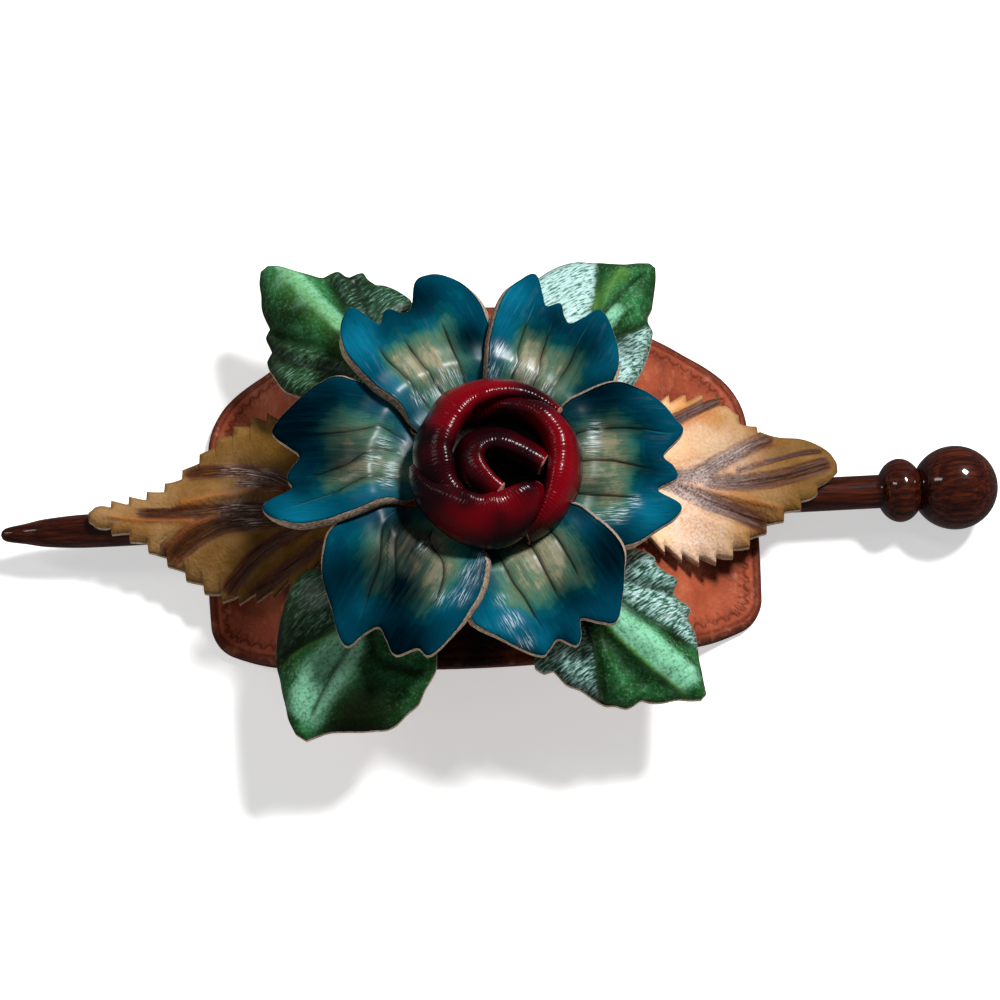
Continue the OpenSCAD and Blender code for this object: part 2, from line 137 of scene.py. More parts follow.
def line_field(points: Array, line: Array) -> tuple[Array, Array]:
    """Distance of points from a line.

    Args:
        points: Places in the plane, one a row.
        line: The line's points.

    Returns:
        The distance, positive on the line's left, and the share of its length at the nearest place.
    """
    start = line[:-1]
    run = np.diff(line, axis=0)
    length = np.hypot(run[:, 0], run[:, 1])
    before = np.concatenate([[0.0], np.cumsum(length)])
    away = np.empty(len(points))
    share = np.empty(len(points))
    block = 2000
    for first in range(0, len(points), block):
        part = points[first:first + block]
        rel = part[:, None, :] - start[None]
        t = np.clip((rel * run).sum(2) / np.maximum(length ** 2, 1e-12), 0, 1)
        off = rel - t[..., None] * run
        gap = np.hypot(off[..., 0], off[..., 1])
        best = gap.argmin(1)
        row = np.arange(len(part))
        side = np.sign(run[best, 0] * rel[row, best, 1] - run[best, 1] * rel[row, best, 0])
        away[first:first + block] = gap[row, best] * np.where(side == 0, 1, side)
        share[first:first + block] = (before[best] + t[row, best] * length[best]) / before[-1]
    return away, share


def waviness(x: Array, y: Array, size: float, seed: int) -> Array:
    """Gentle unevenness of hand-shaped leather, between -1 and 1.

    Args:
        x: Places along one side.
        y: Places along the other side.
        size: Length of its waves.
        seed: Picks one of many patterns.

    Returns:
        The height of the waves at each place.
    """
    total = np.zeros(np.broadcast(x, y).shape)
    for k in range(5):
        turn = 2.399963 * (k + 1) + 0.7 * seed
        wave = size * (0.7 + 0.17 * k)
        phase = 1.7 * seed + 2.1 * k
        total = total + np.sin(2 * math.pi * (x * math.cos(turn) + y * math.sin(turn)) / wave + phase)
    return total / 5


# The photograph's view, and what was picked in it

@dataclass(frozen=True)
class View:
    """The photograph's view of the model: angles in degrees, lengths in metres."""

    azimuth: float = -3.0
    elevation: float = 72.0
    distance: float = 0.393
    target: tuple[float, float, float] = (0.0, 0.00095, 0.0076)
    focal: float = 85.0
    sensor: float = 36.0
    pixels: float = 1000.0

    def back(self) -> tuple[float, float, float]:
        """Direction from the target to the camera."""
        az, el = math.radians(self.azimuth), math.radians(self.elevation)
        return (math.sin(az) * math.cos(el), -math.cos(az) * math.cos(el), math.sin(el))

    def place(self, across: float, down: float, height: float) -> tuple[float, float]:
        """Carries a place in the photograph onto the model.

        Args:
            across: Pixels from the photograph's left edge.
            down: Pixels from its top edge.
            height: Height of the place above the floor, in millimetres.

        Returns:
            The place seen from above, in tenths of a millimetre round the stick's line.
        """
        az = math.radians(self.azimuth)
        back = np.array(self.back())
        right = np.array([math.cos(az), math.sin(az), 0.0])
        above = np.cross(back, right)
        focal_pixels = self.focal / self.sensor * self.pixels
        middle = self.pixels / 2
        ray = (right * (across - middle) - above * (down - middle)) / focal_pixels - back
        eye = (np.array(self.target) + back * self.distance) / MM
        x, y, _ = eye + ray * (height - eye[2]) / ray[2]
        return round(float(x), 1), round(float(y) - LINE_Y, 1)


PHOTO = View()


@dataclass(frozen=True)
class Spots:
    """Where colour is painted darker or lighter, picked in the photograph: painted shade and light, some
    darker dye.

    Columns of the rows: pixels across and down, reach in pixels, and strength. With a power above 1 the
    spots are stronger, as the eye sees darkness.
    """

    height: float
    rows: Rows
    power: float = 1.0
    pixels_a_millimetre: float = 6.5

    def at(self, points: Array) -> Array:
        """Strength of the spots at some points.

        Args:
            points: Places seen from above, in millimetres round the stick's line.

        Returns:
            The strength, between 0 and 1.
        """
        left = np.ones(points.shape[:-1])
        for across, down, reach, strength in self.rows:
            x, y = PHOTO.place(across, down, self.height)
            wide = round(reach / self.pixels_a_millimetre, 1)
            left *= 1 - strength * bell(np.hypot(points[..., 0] - x, points[..., 1] - y) / wide)
        return 1 - left ** self.power


PETAL_TOP = 29.5
ROSE_FOLDS = 35.0
ROSE_CRESTS = 33.0
LEAF_TOP = 17.0
PLATE_RIM = 4.0
DARKENING = 2.2

# Painted shade on the petals, with some darker navy dye among it.
PETAL_DARK_DYE_AND_SHADE = Spots(PETAL_TOP, (
    (290, 423, 44, 0.95), (334, 462, 34, 0.55), (330, 400, 20, 0.5), (360, 398, 14, 0.3),
    (302, 490, 16, 0.35), (352, 448, 14, 0.25),
    (400, 298, 26, 0.5), (470, 338, 18, 0.65), (385, 335, 14, 0.25), (425, 300, 20, 0.4),
    (588, 350, 24, 0.5), (556, 325, 20, 0.4), (536, 335, 12, 0.3),
    (602, 402, 34, 0.65), (645, 470, 18, 0.5), (592, 487, 16, 0.35), (640, 430, 16, 0.4),
    (610, 560, 36, 0.7), (570, 595, 20, 0.45), (524, 660, 14, 0.4), (562, 640, 14, 0.3),
    (335, 590, 40, 0.45), (402, 592, 30, 0.85), (404, 645, 30, 0.75), (380, 640, 16, 0.4),
    (415, 545, 26, 0.6), (395, 525, 18, 0.6), (350, 575, 22, 0.35), (372, 562, 20, 0.35),
), DARKENING)
# Painted highlights at the petals' roots; the same spots also polish the leather there.
PETAL_GLINT = Spots(PETAL_TOP, (
    (373, 459, 8, 0.9), (393, 465, 8, 0.9), (384, 440, 8, 0.7), (385, 480, 8, 0.7),
    (437, 388, 9, 0.9), (418, 396, 7, 0.8), (455, 376, 8, 0.9), (444, 372, 7, 0.6),
    (500, 352, 8, 0.8), (512, 366, 8, 0.8), (530, 374, 9, 0.8), (546, 390, 8, 0.9), (492, 372, 7, 0.8),
    (592, 446, 10, 0.9), (596, 430, 7, 0.6), (618, 513, 10, 0.9), (634, 503, 7, 0.6), (600, 518, 8, 0.6),
    (472, 578, 11, 0.7), (425, 545, 8, 0.6), (442, 600, 10, 0.4), (482, 560, 7, 0.6), (462, 600, 9, 0.5),
    (512, 622, 10, 0.7), (502, 600, 8, 0.5), (526, 642, 8, 0.6),
))
# Painted light: where the petals' blue is painted lighter, as if lit.
PETAL_PAINTED_LIGHT = Spots(PETAL_TOP, (
    (362, 345, 26, 0.9), (398, 388, 14, 0.6), (300, 516, 26, 0.8), (370, 492, 16, 0.6),
    (512, 300, 20, 0.8), (500, 330, 16, 0.7), (612, 352, 14, 0.5), (650, 515, 22, 0.8),
    (600, 520, 16, 0.5), (597, 372, 16, 0.7), (360, 590, 22, 0.6), (505, 620, 26, 0.8),
    (545, 640, 14, 0.5), (440, 600, 16, 0.5), (362, 605, 12, 0.5), (330, 620, 14, 0.4),
    (430, 330, 12, 0.3),
))
# Painted shade in the rose's folds and gaps, with some darker maroon dye.
ROSE_DARK_DYE_AND_SHADE = Spots(ROSE_FOLDS, (
    (425, 478, 22, 0.95), (428, 440, 12, 0.85), (438, 498, 16, 0.7), (532, 397, 18, 0.8),
    (508, 412, 14, 0.7), (455, 455, 20, 0.8), (470, 490, 20, 0.75), (500, 440, 20, 0.8),
    (525, 458, 18, 0.75), (480, 442, 14, 0.6), (505, 545, 20, 0.9), (470, 553, 14, 0.7),
    (535, 530, 14, 0.6), (548, 540, 12, 0.5), (500, 522, 8, 0.3), (528, 490, 13, 0.8),
    (478, 428, 12, 0.4), (466, 505, 10, 0.5), (418, 430, 10, 0.5), (545, 410, 10, 0.5),
), DARKENING)
# Painted light on the rose's lit rolls.
ROSE_PAINTED_LIGHT = Spots(ROSE_CRESTS, (
    (472, 394, 20, 0.8), (446, 404, 14, 0.6), (500, 396, 12, 0.5), (562, 482, 22, 0.8),
    (568, 506, 14, 0.6), (552, 452, 14, 0.5), (462, 532, 22, 0.9), (440, 516, 14, 0.7),
    (488, 540, 14, 0.6), (436, 428, 10, 0.5),
))
# Painted shade on the leaves, where petals and lobes shade them.
LEAF_PAINTED_SHADE = Spots(LEAF_TOP, (
    (366, 712, 36, 0.85), (345, 730, 20, 0.5), (275, 640, 26, 0.6), (262, 700, 12, 0.4),
    (290, 735, 12, 0.3),
    (270, 350, 28, 0.5), (246, 300, 16, 0.5), (350, 290, 24, 0.3), (268, 330, 14, 0.4), (300, 325, 10, 0.3),
    (650, 290, 14, 0.3), (620, 350, 18, 0.4), (255, 470, 30, 0.3), (215, 520, 18, 0.25),
    (600, 700, 18, 0.5), (560, 690, 14, 0.3), (660, 690, 14, 0.2),
), DARKENING)
# Painted light: painted sheen on the yellow leaves and painted mint sheen on the green ones.
LEAF_PAINTED_LIGHT = Spots(LEAF_TOP, (
    (254, 475, 21, 0.9), (234, 489, 17, 0.9), (248, 511, 12, 0.6),
    (700, 530, 34, 0.8), (676, 500, 24, 0.8), (700, 470, 20, 0.6), (735, 445, 30, 0.5), (670, 440, 20, 0.4),
    (322, 690, 20, 0.9), (338, 672, 18, 0.9), (352, 655, 14, 0.8), (310, 706, 14, 0.7), (655, 615, 18, 0.5),
    (285, 290, 9, 0.8), (305, 315, 9, 0.9), (228, 455, 12, 0.4), (700, 418, 14, 0.3),
))
# Painted shadow on the plate's lower edge, cast by the petals.
PLATE_PAINTED_SHADOW = Spots(PLATE_RIM, (
    (425, 668, 44, 0.8), (370, 675, 38, 0.5), (480, 668, 36, 0.8), (300, 670, 26, 0.2),
), DARKENING)


@dataclass
class VeinField:
    """How near each point of a sheet is to the veins that are carved in it."""

    signed: Array
    away: Array
    fade: Array

    @classmethod
    def of(cls, points: Array, veins: Sequence[Array]) -> "VeinField":
        """Measures a sheet's points.

        Args:
            points: Rows x columns x 2 places.
            veins: The lines of the veins.

        Returns:
            The field, with arrays of rows x columns.
        """
        flat = points.reshape(-1, 2)
        signed = np.full(len(flat), 99.0)
        fade = np.zeros(len(flat))
        for vein in veins:
            gap, share = line_field(flat, vein)
            nearer = np.abs(gap) < np.abs(signed)
            signed = np.where(nearer, gap, signed)
            fade = np.where(nearer, ease((1.0 - share) / RUN_OUT + 0.15), fade)
        shape = points.shape[:2]
        return cls(signed.reshape(shape), np.abs(signed).reshape(shape), fade.reshape(shape))


# Meshes

@dataclass
class Shape:
    """Points, faces and named masks of one mesh, in millimetres round the stick's line."""

    points: Array
    faces: list[Array] = field(default_factory=list)
    masks: dict[str, Array] = field(default_factory=dict)

    def make(self, name: str) -> bpy.types.Object:
        """Makes the mesh's object in the model's frame.

        Args:
            name: The piece's name.

        Returns:
            The linked object, in metres.
        """
        mesh = bpy.data.meshes.new(name)
        places = (self.points + np.array([0.0, LINE_Y, 0.0])) * MM
        faces = [tuple(face) for group in self.faces for face in group.tolist()]
        mesh.from_pydata(places.tolist(), [], faces)
        for mask, values in self.masks.items():
            layer = mesh.attributes.new(mask, "FLOAT", "POINT")
            layer.data.foreach_set("value", np.asarray(values, np.float32).ravel())
        mesh.polygons.foreach_set("use_smooth", np.ones(len(mesh.polygons), bool))
        mesh.validate()
        mesh.update()
        piece = bpy.data.objects.new(name, mesh)
        bpy.context.scene.collection.objects.link(piece)
        return piece


def grid_faces(rows: int, cols: int, first: int = 0, closed: bool = False) -> Array:
    """Four-sided faces over a grid of points.

    Args:
        rows: Rows of the grid.
        cols: Columns of the grid.
        first: Number of the grid's first point.
        closed: Whether the last column joins the first.

    Returns:
        One face a row.
    """
    wide = cols if closed else cols - 1
    i, j = np.meshgrid(np.arange(rows - 1), np.arange(wide), indexing="ij")
    a = first + i * cols + j
    b = first + i * cols + (j + 1) % cols
    return np.stack([a, b, b + cols, a + cols], axis=-1).reshape(-1, 4)


@dataclass
class Sheet:
    """A closed leather sheet that is grown down from a grid of points on its face."""

    face: Array
    thickness: float
    masks: dict[str, Array]
    down: Array | None = None
    bevel: float = 0.2

    def shape(self) -> Shape:
        """Works out the sheet with its bevelled rim, its raw wall and its back.

        Returns:
            The closed shape, with the masks cut (raw wall) and under (back) added.
        """
        rows, cols = self.face.shape[:2]
        down = np.zeros_like(self.face)
        down[..., 2] = -1
        if self.down is not None:
            down = self.down
        ring = np.concatenate([
            np.arange(cols),
            np.arange(1, rows) * cols + cols - 1,
            (rows - 1) * cols + np.arange(cols - 2, -1, -1),
            np.arange(rows - 2, 0, -1) * cols,
        ])
        face = self.face.reshape(-1, 3)
        fall = down.reshape(-1, 3)
        rim = face[ring]
        along = np.roll(rim, -1, axis=0) - np.roll(rim, 1, axis=0)
        out = np.stack([along[:, 1], -along[:, 0], np.zeros(len(ring))], axis=1)
        out /= np.maximum(np.linalg.norm(out, axis=1, keepdims=True), 1e-9)
        area = (rim[:, 0] * np.roll(rim[:, 1], -1) - np.roll(rim[:, 0], -1) * rim[:, 1]).sum()
        out *= np.sign(area)
        top = face.copy()
        top[ring] -= out * self.bevel
        back = face + fall * self.thickness
        back[ring] -= out * self.bevel
        half = 0.5 * self.bevel
        depths = (half, self.bevel, self.thickness - self.bevel, self.thickness - half)
        loops = [rim - out * (self.bevel * 0.3 if k in (0, 3) else 0) + fall[ring] * depth
                 for k, depth in enumerate(depths)]
        points = np.concatenate([top, *loops, back])
        count = len(ring)
        size = rows * cols
        starts = [size + k * count for k in range(4)]
        bands = [ring, *[start + np.arange(count) for start in starts], size + 4 * count + ring]
        walls = []
        for upper, lower in zip(bands[:-1], bands[1:]):
            walls.append(np.stack([upper, lower, np.roll(lower, -1), np.roll(upper, -1)], axis=1))
        quads = grid_faces(rows, cols)
        lower_quads = quads[:, ::-1] + size + 4 * count
        faces = [quads, lower_quads, *walls]
        if area <= 0:
            faces = [group[:, ::-1] for group in faces]
        masks = {name: np.concatenate([m.ravel(), *[m.ravel()[ring]] * 4, m.ravel()])
                 for name, m in self.masks.items()}
        masks["cut"] = np.concatenate([
            np.zeros(size), np.zeros(count), np.ones(2 * count), np.zeros(count), np.zeros(size)])
        masks["under"] = np.concatenate([np.zeros(size + 3 * count), np.ones(count + size)])
        return Shape(points, faces, masks)

    def edge(self) -> Array:
        """Distance of each point of the face from the sheet's edge, without its hidden root.

        Returns:
            The distances, rows x columns.
        """
        flat = self.face[..., :2]
        line = np.concatenate([flat[:, -1], flat[-1][::-1], flat[:, 0][::-1]])
        keep = np.concatenate([[True], np.hypot(*np.diff(line, axis=0).T) > 1e-6])
        gap, _ = line_field(flat.reshape(-1, 2), line[keep])
        return np.abs(gap).reshape(flat.shape[:2])


# Shader maths

@dataclass(frozen=True)
class Value:
    """A number that changes over a surface: operators on it add Math nodes."""

    shader: "Shader"
    socket: bpy.types.NodeSocket

    def math(self, operation: str, *others: "Value | float") -> "Value":
        """Adds a Math node behind this value.

        Args:
            operation: The Math node's operation.
            others: Its further values.

        Returns:
            The node's result.
        """
        node = self.shader.node("ShaderNodeMath", {"operation": operation},
                                dict(enumerate((self, *others))))
        return Value(self.shader, node.outputs[0])

    def __add__(self, other: "Value | float") -> "Value":
        """Sum."""
        return self.math("ADD", other)

    __radd__ = __add__

    def __sub__(self, other: "Value | float") -> "Value":
        """Difference."""
        return self.math("SUBTRACT", other)

    def __rsub__(self, other: float) -> "Value":
        """Difference from a number."""
        return self.math("MULTIPLY", -1.0).math("ADD", other)

    def __mul__(self, other: "Value | float") -> "Value":
        """Product."""
        return self.math("MULTIPLY", other)

    __rmul__ = __mul__

    def __truediv__(self, other: "Value | float") -> "Value":
        """Quotient."""
        return self.math("DIVIDE", other)

    def __pow__(self, other: float) -> "Value":
        """Power."""
        return self.math("POWER", other)

    def __abs__(self) -> "Value":
        """Size without sign."""
        return self.math("ABSOLUTE")

    def over(self, low: float, high: float) -> "Value":
        """Smooth step of this value from 0 at low to 1 at high."""
        node = self.shader.node(
            "ShaderNodeMapRange", {"interpolation_type": "SMOOTHSTEP"},
            {"Value": self, "From Min": min(low, high), "From Max": max(low, high),
             "To Min": float(low > high), "To Max": float(low < high)})
        return Value(self.shader, node.outputs["Result"])

    def held(self) -> "Value":
        """This value kept between 0 and 1."""
        return self.math("MAXIMUM", 0.0).math("MINIMUM", 1.0)


class Shader:
    """The node tree of one material."""

    def __init__(self, name: str) -> None:
        """Starts an empty material.

        Args:
            name: The material's name.
        """
        self.material = bpy.data.materials.new(name)
        self.material.use_nodes = True
        self.tree = self.material.node_tree
        self.tree.nodes.clear()

    def node(self, kind: str, settings: dict[str, Any], inputs: dict[Any, Any]) -> bpy.types.Node:
        """Adds a node.

        Args:
            kind: The node's type.
            settings: Its settings, set first; stops holds a ramp's places and colours.
            inputs: Values or links of its sockets, by name or number.

        Returns:
            The node.
        """
        node = self.tree.nodes.new(kind)
        for key, value in settings.items():
            if key == "stops":
                ramp = node.color_ramp.elements
                while len(ramp) < len(value):
                    ramp.new(1.0)
                for stop, (place, colour) in zip(ramp, value):
                    stop.position = place
                    stop.color = colour
            else:
                setattr(node, key, value)
        for key, value in inputs.items():
            socket = node.inputs[key]
            if isinstance(value, Value):
                self.tree.links.new(value.socket, socket)
            elif isinstance(value, bpy.types.NodeSocket):
                self.tree.links.new(value, socket)
            else:
                socket.default_value = value
        return node

    def mask(self, name: str) -> Value:
        """A mask that the mesh carries."""
        node = self.node("ShaderNodeAttribute", {"attribute_name": name, "attribute_type": "GEOMETRY"}, {})
        return Value(self, node.outputs["Fac"])

    def place(self, scale: tuple[float, float, float] = (1, 1, 1)) -> bpy.types.NodeSocket:
        """Where a point of the surface lies, in millimetres times a scale for each axis."""
        spot = self.node("ShaderNodeTexCoord", {}, {})
        node = self.node("ShaderNodeVectorMath", {"operation": "MULTIPLY"},
                         {0: spot.outputs["Object"], 1: tuple(s / MM for s in scale)})
        return node.outputs[0]

    def spot(self, x: Value | float, y: Value | float, z: Value | float = 0.0) -> bpy.types.NodeSocket:
        """A place that is made of three values."""
        return self.node("ShaderNodeCombineXYZ", {}, {0: x, 1: y, 2: z}).outputs[0]

    def noise(self, where: bpy.types.NodeSocket, scale: float = 1.0, detail: float = 3.0,
              rough: float = 0.55) -> Value:
        """Cloudy noise between 0 and 1.

        Args:
            where: The place that it is read at.
            scale: Waves a millimetre.
            detail: Finer waves that are added.
            rough: Strength of the finer waves.

        Returns:
            The noise.
        """
        node = self.node("ShaderNodeTexNoise", {},
                         {"Vector": where, "Scale": scale, "Detail": detail, "Roughness": rough})
        return Value(self, node.outputs["Fac"])

    def cells(self, where: bpy.types.NodeSocket, scale: float) -> Value:
        """Distance to the nearest of scattered spots."""
        node = self.node("ShaderNodeTexVoronoi", {"feature": "F1"}, {"Vector": where, "Scale": scale})
        return Value(self, node.outputs["Distance"])

    def strands(self, along: float, across: float, detail: float = 3.0, rough: float = 0.6,
                side: str = "side") -> Value:
        """Noise that is drawn out along a piece.

        Args:
            along: Waves in a millimetre along the piece.
            across: Waves in a millimetre across it.
            detail: Octaves of the noise.
            rough: Strength of the finer octaves.
            side: The mask that is measured across the piece.

        Returns:
            The noise, between 0 and 1.
        """
        place = self.spot(self.mask("along") * along, self.mask(side) * across)
        return self.noise(place, 1.0, detail, rough)

    def ramp(self, value: Value, stops: Sequence[tuple[float, Colour]]) -> bpy.types.NodeSocket:
        """A colour that follows a value."""
        return self.node("ShaderNodeValToRGB", {"stops": stops}, {0: value}).outputs["Color"]

    def blend(self, share: Value | float, first: Any, second: Any) -> bpy.types.NodeSocket:
        """Blends two colours.

        Args:
            share: Share of the second colour.
            first: A colour or a link.
            second: A colour or a link.

        Returns:
            The colour.
        """
        node = self.node("ShaderNodeMix", {"data_type": "RGBA", "blend_type": "MIX"},
                         {0: share, 6: first, 7: second})
        return node.outputs[2]

    def bump(self, height: Value) -> bpy.types.NodeSocket:
        """The surface's direction under a height in millimetres."""
        node = self.node("ShaderNodeBump", {}, {"Strength": 1.0, "Distance": MM, "Height": height})
        return node.outputs["Normal"]

    def close(self, colour: Any, roughness: Value | float, height: Value, coat: Value | float = 0.0,
              fixed: dict[str, Any] | None = None) -> bpy.types.Material:
        """Ends the tree in a principled surface.

        Args:
            colour: The base colour.
            roughness: The roughness.
            height: Height of the fine relief in millimetres.
            coat: Weight of the clear coat.
            fixed: Sockets that are the same all over the surface.

        Returns:
            The material.
        """
        surface = self.node("ShaderNodeBsdfPrincipled", {}, {
            "Base Color": colour, "Roughness": roughness, "Normal": self.bump(height),
            "Coat Weight": coat, **(fixed or {})})
        self.node("ShaderNodeOutputMaterial", {}, {"Surface": surface.outputs[0]})
        return self.material


def tone(code: str) -> Colour:
    """A colour from its hex code as a screen shows it."""
    parts = [int(code[i:i + 2], 16) / 255 for i in (0, 2, 4)]
    red, green, blue = (c / 12.92 if c <= 0.04045 else ((c + 0.055) / 1.055) ** 2.4 for c in parts)
    return (red, green, blue, 1.0)


# Finishes

@dataclass(frozen=True)
class Leather:
    """Grained, waxed leather with a raw wall and a suede back."""

    name: str
    matt: float = 0.66
    polish: float = 0.28
    shine: float = 0.14
    coat: float = 0.0
    coat_rough: float = 0.2
    grain: float = 0.05
    hatch: float = 0.04
    hatch_turn: float = 35.0
    raw: str = "ceb8a2"
    suede: str = "a88a68"
    raw_dark: str = "6e5644"

    def brushed(self, shader: Shader, length: float = 3.2, wide: float = 0.5) -> Value:
        """Slanted strokes of a brush, between 0 and 1.

        Args:
            shader: The material's tree.
            length: Length of a stroke in millimetres.
            wide: Its width.

        Returns:
            The strokes.
        """
        turned = shader.node("ShaderNodeMapping", {"vector_type": "TEXTURE"}, {
            "Vector": shader.place(), "Rotation": (0.0, 0.0, math.radians(self.hatch_turn)),
            "Scale": (length, wide, length)}).outputs[0]
        return shader.noise(turned, 1.0, 3.0, 0.6)

    def surface(self, shader: Shader, rough: Value | float) -> Value:
        """Height of the grain: small pebbles, pores and the fine slanted lines of the brush.

        Args:
            shader: The material's tree.
            rough: How much stronger the brush's lines are.

        Returns:
            The height in millimetres.
        """
        spot = shader.place()
        pebble = shader.cells(spot, 1.5).over(0.1, 0.75) * -self.grain
        fine = (shader.noise(spot, 2.6, 4.0, 0.65) - 0.5) * (1.6 * self.grain)
        lines = (self.brushed(shader) - 0.5) * self.hatch * (rough * 2.0)
        return pebble + fine + lines

    def dress(self, shader: Shader, colour: bpy.types.NodeSocket, carved: Value | None = None,
              polished: Value | float = 0.5, brushing: Value | float = 1.0) -> bpy.types.Material:
        """Puts the raw wall and the suede back under a face colour and closes the material.

        Args:
            shader: The material's tree.
            colour: The face's colour.
            carved: Further height of the face in millimetres.
            polished: How far the face is polished, from 0 to 1.
            brushing: Strength of the brush's lines over the face.

        Returns:
            The material.
        """
        spot = shader.place()
        cut = shader.mask("cut").over(0.4, 0.6)
        under = shader.mask("under").over(0.4, 0.6)
        fibre = shader.noise(shader.place((1, 1, 4)), 1.4, 5.0, 0.7)
        raw = shader.blend(fibre.over(0.35, 0.7), tone(self.raw_dark), tone(self.raw))
        nap = shader.noise(spot, 1.1, 6.0, 0.75)
        suede = shader.blend(nap, tone(self.suede), tone(self.raw_dark))
        faced = shader.blend(cut, colour, raw)
        full = shader.blend(under, faced, suede)
        bare = cut.math("MAXIMUM", under)
        height = self.surface(shader, brushing)
        if carved is not None:
            height = height + carved
        height = height * (1 - bare) + fibre * bare * 0.12
        worn = shader.noise(spot, 0.35, 3.0)
        rough = (worn - 0.5) * 0.12 + self.matt + polished * (self.polish - self.matt)
        rough = rough * (1 - bare) + bare * 0.88
        fixed = {"Specular IOR Level": self.shine, "Coat Roughness": self.coat_rough}
        return shader.close(full, rough.held(), height, (1 - bare) * polished * self.coat, fixed)


@dataclass(frozen=True)
class PetalFinish:
    """Blue dye that is brushed in from a petal's rim over a khaki middle."""

    leather: Leather = Leather("petal_leather", shine=0.0, coat=1.0, coat_rough=0.38, grain=0.006,
                               hatch=0.004)
    cream: str = "969276"
    khaki: str = "60785f"
    sage: str = "367062"
    teal: str = "044e56"
    blue: str = "024e5e"
    # Colour of painted light on the blue.
    painted_light_azure: str = "086c88"
    navy: str = "004054"
    # Colour of painted shade, with darker dye.
    deep_dye_and_painted_shade: str = "000c14"
    # Colour of painted highlights.
    frost: str = "d2e4ea"
    fleck: str = "081a18"
    stain: str = "343822"
    vein_dark: str = "14140c"
    # Painted highlight of a vein's groove where the dye is blue.
    vein_painted_highlight: str = "2a6a72"

    def material(self) -> bpy.types.Material:
        """Makes the material from its masks: dye, painted light, painted shade with darker dye, glint, vein,
        near, along and side.
        """
        shader = Shader(self.leather.name)
        streak = shader.strands(0.12, 1.3, 4.0)
        cloud = shader.noise(shader.place(), 0.16, 3.0)
        mottle = shader.noise(shader.place(), 0.55, 4.0, 0.6)
        dye = shader.mask("dye") + (streak - 0.5) * 0.5 + (cloud - 0.5) * 0.8
        dye = (dye + (mottle - 0.5) * 0.5).held()
        colour = shader.ramp(dye, [
            (0.0, tone(self.cream)), (0.14, tone(self.khaki)), (0.42, tone(self.sage)),
            (0.68, tone(self.teal)), (0.88, tone(self.blue)), (1.0, tone(self.navy))])
        # Painted light: the blue is painted a lighter azure at the spots of painted light.
        bright = (shader.mask("bright") * (0.6 + streak * 0.8)).held() * dye.over(0.35, 0.65)
        colour = shader.blend(bright, colour, tone(self.painted_light_azure))
        fleck = shader.strands(0.5, 5.0)
        colour = shader.blend(fleck.over(0.5, 0.72) * 0.4, colour, tone(self.fleck))
        near = shader.mask("near")
        line = (abs(shader.mask("vein"))).over(0.17, 0.03) * near
        stain = (abs(shader.mask("vein"))).over(1.1, 0.2) * near * (1 - dye) * 0.5
        colour = shader.blend(stain, colour, tone(self.stain))
        # The carved veins are drawn dark on the khaki and, on the blue, as a pale line: a painted highlight
        # on the groove's edge.
        pale = shader.blend(dye.over(0.5, 0.9), tone(self.vein_dark), tone(self.vein_painted_highlight))
        colour = shader.blend(line * 0.85, colour, pale)
        # Painted shade with some darker dye: the colour goes towards a near-black navy.
        dark = shader.mask("dark") * (0.75 + streak * 0.5)
        colour = shader.blend(dark.held(), colour, tone(self.deep_dye_and_painted_shade))
        # Painted highlights: pale streaks at the glint spots on the petals' roots.
        hair = shader.strands(0.4, 4.5, rough=0.65)
        glint = shader.mask("glint").over(0.0, 0.6) * hair.over(0.47, 0.64)
        colour = shader.blend(glint * 0.75, colour, tone(self.frost))
        carved = (abs(shader.mask("vein"))).over(0.35, 0.0) * near * -0.16
        root = shader.mask("along").over(22.0, 16.5)
        brush = shader.strands(0.3, 2.4)
        carved = carved + (brush - 0.5) * 0.07 + (hair - 0.5) * (root * 0.2 + 0.04)
        polished = (root * 0.85 + shader.mask("glint") * 0.6 + streak.over(0.5, 0.75) * 0.1).held()
        polished = polished * (1 - dark.held() * 0.8)
        return self.leather.dress(shader, colour, carved, polished)


